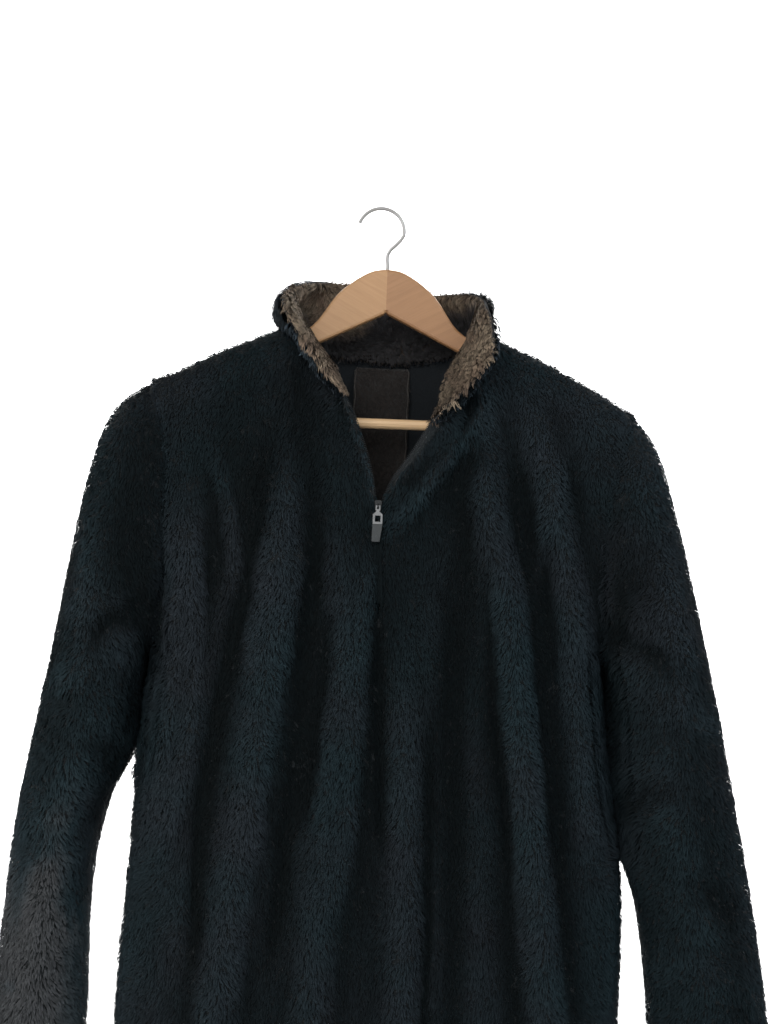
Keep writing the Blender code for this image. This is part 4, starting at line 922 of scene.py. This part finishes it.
slitEdges = {}
for node in ("zip_left", "zip_right"):
    sections = tapeRows(node)
    clothEdge, freeEdge, front, slitEdges[node] = (
        smoothPath(path, tapeLook["rounded"])
        for path in (sections[:, 0].mean(axis=1), sections[:, 1].mean(axis=1),
                     sections[:, :, 0].mean(axis=1), sections[:, 0, 0]))
    out = unit(front - (clothEdge + freeEdge) / 2)
    over = unit(freeEdge - clothEdge)
    # tape: a ribbon with four corners to a row, its cloth edge tucked a little under the fleece
    half = out * tapeLook["thick"] / 2
    low = clothEdge - over * tapeLook["tucked"]
    high = clothEdge + (freeEdge - clothEdge) * tapeLook["tapeTo"]
    ring = np.stack([low + half, high + half, high - half, low - half], axis=1).reshape(-1, 3)
    faces = tubeFaces(0, len(low), 4)
    spot, ahead, way = evenlyAlong([freeEdge, out, over], tapeLook["toothPitch"])
    along = unit(np.gradient(spot, axis=0))
    if node == "zip_right":  # half a pitch on, so that both chains mesh
        spot = spot + along * tapeLook["toothPitch"] / 2
    teeth = toothRings(spot, along, unit(ahead), unit(way))
    around, rings = len(tapeLook["toothRound"]), len(tapeLook["toothFat"])
    for first in range(len(ring), len(ring) + len(teeth), around * rings):
        faces += tubeFaces(first, rings, around)
    mesh = meshOf(node + "_tape", np.concatenate([ring, teeth]), faces)
    mesh.validate()
    bm = bmesh.new()
    bm.from_mesh(mesh)
    bmesh.ops.recalc_face_normals(bm, faces=bm.faces)
    bm.to_mesh(mesh)
    bm.free()
    mesh.shade_smooth()
    mesh.set_sharp_from_angle(angle=math.radians(tapeLook["sharpFrom"]))
    tapePiece = finished(node + "_tape", mesh, [tapeFinish, toothFinish])
    for face in mesh.polygons:
        face.material_index = int(face.vertices[0] >= len(ring))
    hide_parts(node)
    print(node, "rows", len(low), "teeth", len(spot))


# pile that closes over the zip below its slider
# stands under 0 gives the cover's pile the painted shade of a trough
coverLook = {"low": -0.3935, "high": -0.300, "rows": 24, "sunk": 0.0008, "before": 0.0004, "stands": -0.0022}
strip = []
for z in np.linspace(coverLook["low"], coverLook["high"], coverLook["rows"]):
    a, b = (np.array([np.interp(z, slitEdges[node][:, 2], slitEdges[node][:, k]) for k in range(3)])
            for node in ("zip_left", "zip_right"))
    sunk = (0, coverLook["sunk"], 0)
    strip += [a, a + (b - a) / 3 + sunk, a + (b - a) * 2 / 3 + sunk, b]
strip = np.array(strip) + (0, -coverLook["before"], 0)
stripTris = []
for p in range(0, len(strip) - 4, 4):
    for k in range(p, p + 3):
        stripTris += [(k, k + 1, k + 5), (k, k + 5, k + 4)]
stripCloth = flatCloth(strip, np.array(stripTris), coverLook["stands"])
coverPile = dict(bodyPile, locks=1500, length=0.0085, height=0.0036, fan=(0, 0, 0), seed=81)
makePile("zip_cover_pile", stripCloth, coverPile, fleeceFinish)
print("zip made")


def dress(node, material):
    # a better finish on the CAD's own piece
    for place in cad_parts[node].material_slots:
        place.link = "OBJECT"
        place.material = material


def woodFinish(name, light, dark, tilt, grainScale):
    made, tree, shader = newMaterial(name, light, 0.42, gloss=0.35)
    place = objectPlace(tree, rotation=(0, math.radians(tilt), 0))
    long, pores = (addNode(tree, "ShaderNodeMapping", None, Vector=place, Scale=scale).outputs[0]
                   for scale in ((6, 60, grainScale), (60, 900, 900)))
    fine = noise(tree, pores, 1.0)
    rings = mapped(tree, noise(tree, long, 1.0, 4.0, 0.6), 0.36, 0.66)
    specks = mapped(tree, fine, 0.5, 0.72, toHigh=0.25)
    paint(tree, shader, specks, mixColours(tree, rings, light, dark), tuple(c * 0.72 for c in dark))
    bumpInto(tree, shader, fine, 0.00008)
    return made


def metalFinish(name, colour, roughness, scratchScale):
    made, tree, shader = newMaterial(name, colour, roughness, 1.0)
    marks = noise(tree, objectPlace(tree, scratchScale), 1.0, 3.0)
    paintedLightColour = mapped(tree, marks, 0, 1, roughness * 0.75, roughness * 1.3)
    tree.links.new(paintedLightColour, shader.inputs["Roughness"])
    paint(tree, shader, marks, tuple(c * 0.85 for c in colour), colour)
    return made


lightWood = woodFinish("beechLight", (0.350, 0.199, 0.095), (0.320, 0.177, 0.083), -28, 220)
darkWood = woodFinish("beechDark", (0.270, 0.139, 0.063), (0.243, 0.123, 0.054), 28, 220)
dress("hanger_left", lightWood)
dress("hanger_right", darkWood)

# the glued joint between the halves, flush with their faces
jointLook = {"sides": (0.0029, 0.0056, 0.0083), "half": 0.00602, "topHalf": 0.0036, "top": -0.0574,
             "foot": -0.0987, "ease": 0.0024}
half, topHalf, top, foot, ease = (jointLook[key] for key in ("half", "topHalf", "top", "foot", "ease"))
outline = [(-topHalf, top), (-half, top - ease), (-half, foot + ease), (-topHalf, foot),
           (topHalf, foot), (half, foot + ease), (half, top - ease), (topHalf, top)]
jointPoints, jointFaces = [], []
for near, far in zip(jointLook["sides"][:-1], jointLook["sides"][1:]):
    jointFaces += tubeFaces(len(jointPoints), 2, len(outline))
    jointPoints += [(x, y, z) for x in (near, far) for y, z in outline]
jointMesh = meshOf("hanger_joint", jointPoints, jointFaces)
finished("hanger_joint", jointMesh, [lightWood, darkWood])
for face in jointMesh.polygons:  # the far half is the darker wood
    face.material_index = int(2 * face.index >= len(jointFaces))
dress("trouser_bar", woodFinish("beechBar", (0.68, 0.46, 0.26), (0.60, 0.395, 0.215), 2, 300))
dress("hook", metalFinish("brushedSteel", (0.36, 0.35, 0.34), 0.42, (900, 900, 120)))
dress("slider", metalFinish("darkNickel", (0.035, 0.037, 0.038), 0.45, (500, 500, 500)))
dress("pull_frame", metalFinish("nickel", (0.21, 0.215, 0.22), 0.36, (500, 500, 500)))
gripFinish = grainFinish("greyGrip", (0.0085, 0.0115, 0.0130), (0.0125, 0.0165, 0.0185), 1400, 0.5,
                         bump=0.00005)
dress("pull_grip", gripFinish)
print("wood and metal done")


cameraSet = {"target": (0.0111, 0, -0.2892), "distance": 1.27, "lens": 31.006, "sensorHeight": 24,
             "roll": 2.2, "clipEnd": 40}
camera = placed("camera", bpy.data.cameras.new("camera"))
camera.data.sensor_fit = "VERTICAL"
camera.data.sensor_height = cameraSet["sensorHeight"]
camera.data.lens = cameraSet["lens"]
camera.data.clip_end = cameraSet["clipEnd"]
away = Vector((0, -1, 0))
camera.location = Vector(cameraSet["target"]) + away * cameraSet["distance"]
level = (-away).to_track_quat("-Z", "Y").to_matrix()
camera.rotation_euler = (level @ Matrix.Rotation(math.radians(cameraSet["roll"]), 3, "Z")).to_euler()
scene.camera = camera

studio = {"floor": -0.92, "floorTo": -4.0, "wallBehind": 3.6, "bend": 0.5, "bendSteps": 12, "wallTop": 4.5,
          "halfWide": 6, "world": 0.42, "worldTint": (0.93, 0.97, 1.0)}
world = bpy.data.worlds.new("studio")
scene.world = world
world.use_nodes = True
backdrop = world.node_tree.nodes["Background"]
backdrop.inputs[0].default_value = (*studio["worldTint"], 1)
backdrop.inputs[1].default_value = studio["world"]
scene.view_settings.view_transform = "Standard"

# one sweep of paper: floor, round bend and wall behind
paper = grainFinish("palePaper", (0.85, 0.85, 0.85), (0.88, 0.88, 0.88), 60, 0.9)
floor, wall, bend = studio["floor"], studio["wallBehind"], studio["bend"]
sweep = [(studio["floorTo"], floor)]
for turn in np.linspace(0, math.pi / 2, studio["bendSteps"] + 1):
    sweep.append((wall + bend * math.sin(turn), floor + bend * (1 - math.cos(turn))))
sweep.append((wall + bend, studio["wallTop"]))
paperPoints = [(x, y, z) for y, z in sweep for x in (-studio["halfWide"], studio["halfWide"])]
paperFaces = [(i, i + 1, i + 3, i + 2) for i in range(0, len(paperPoints) - 2, 2)]
paperMesh = meshOf("paper_sweep", paperPoints, paperFaces)
paperMesh.shade_smooth()
paperMesh.materials.append(paper)
placed("paper_sweep", paperMesh)

# where each lamp stands, what it looks at, its width, power and tint
lamps = {
    "keyLamp": ((-0.5, -2.2, 0.75), (0, 0, -0.45), 1.5, 39, (1.0, 0.98, 0.95)),
    "sideLamp": ((1.7, -0.9, 0.9), (0.1, 0, -0.3), 1.2, 30, (0.85, 0.93, 1.0)),
    "lowLamp": ((-1.6, -1.3, -0.7), (-0.2, 0, -0.65), 1.2, 14, (1.0, 0.96, 0.93)),
    "sleeveLamp": ((-1.1, -0.6, -0.85), (-0.33, 0, -0.75), 0.4, 5, (1.0, 0.95, 0.91)),
    "wallLampLeft": ((-2.4, 2.1, 1.0), (-0.9, 4.1, 0.0), 2.2, 260, (1, 1, 1)),
    "wallLampRight": ((2.4, 2.1, 1.0), (0.9, 4.1, 0.0), 2.2, 260, (1, 1, 1)),
    "backLamp": ((0.6, 2.4, 1.2), (0, 0, -0.4), 1.5, 16, (1.0, 0.98, 0.96)),
}
for name, (place, aim, size, power, tint) in lamps.items():
    data = bpy.data.lights.new(name, "AREA")
    data.size = size
    data.energy = power
    data.color = tint
    lamp = placed(name, data)
    lamp.location = place
    lamp.rotation_euler = (Vector(aim) - Vector(place)).to_track_quat("-Z", "Y").to_euler()
    lamp.visible_camera = False
print("studio made")
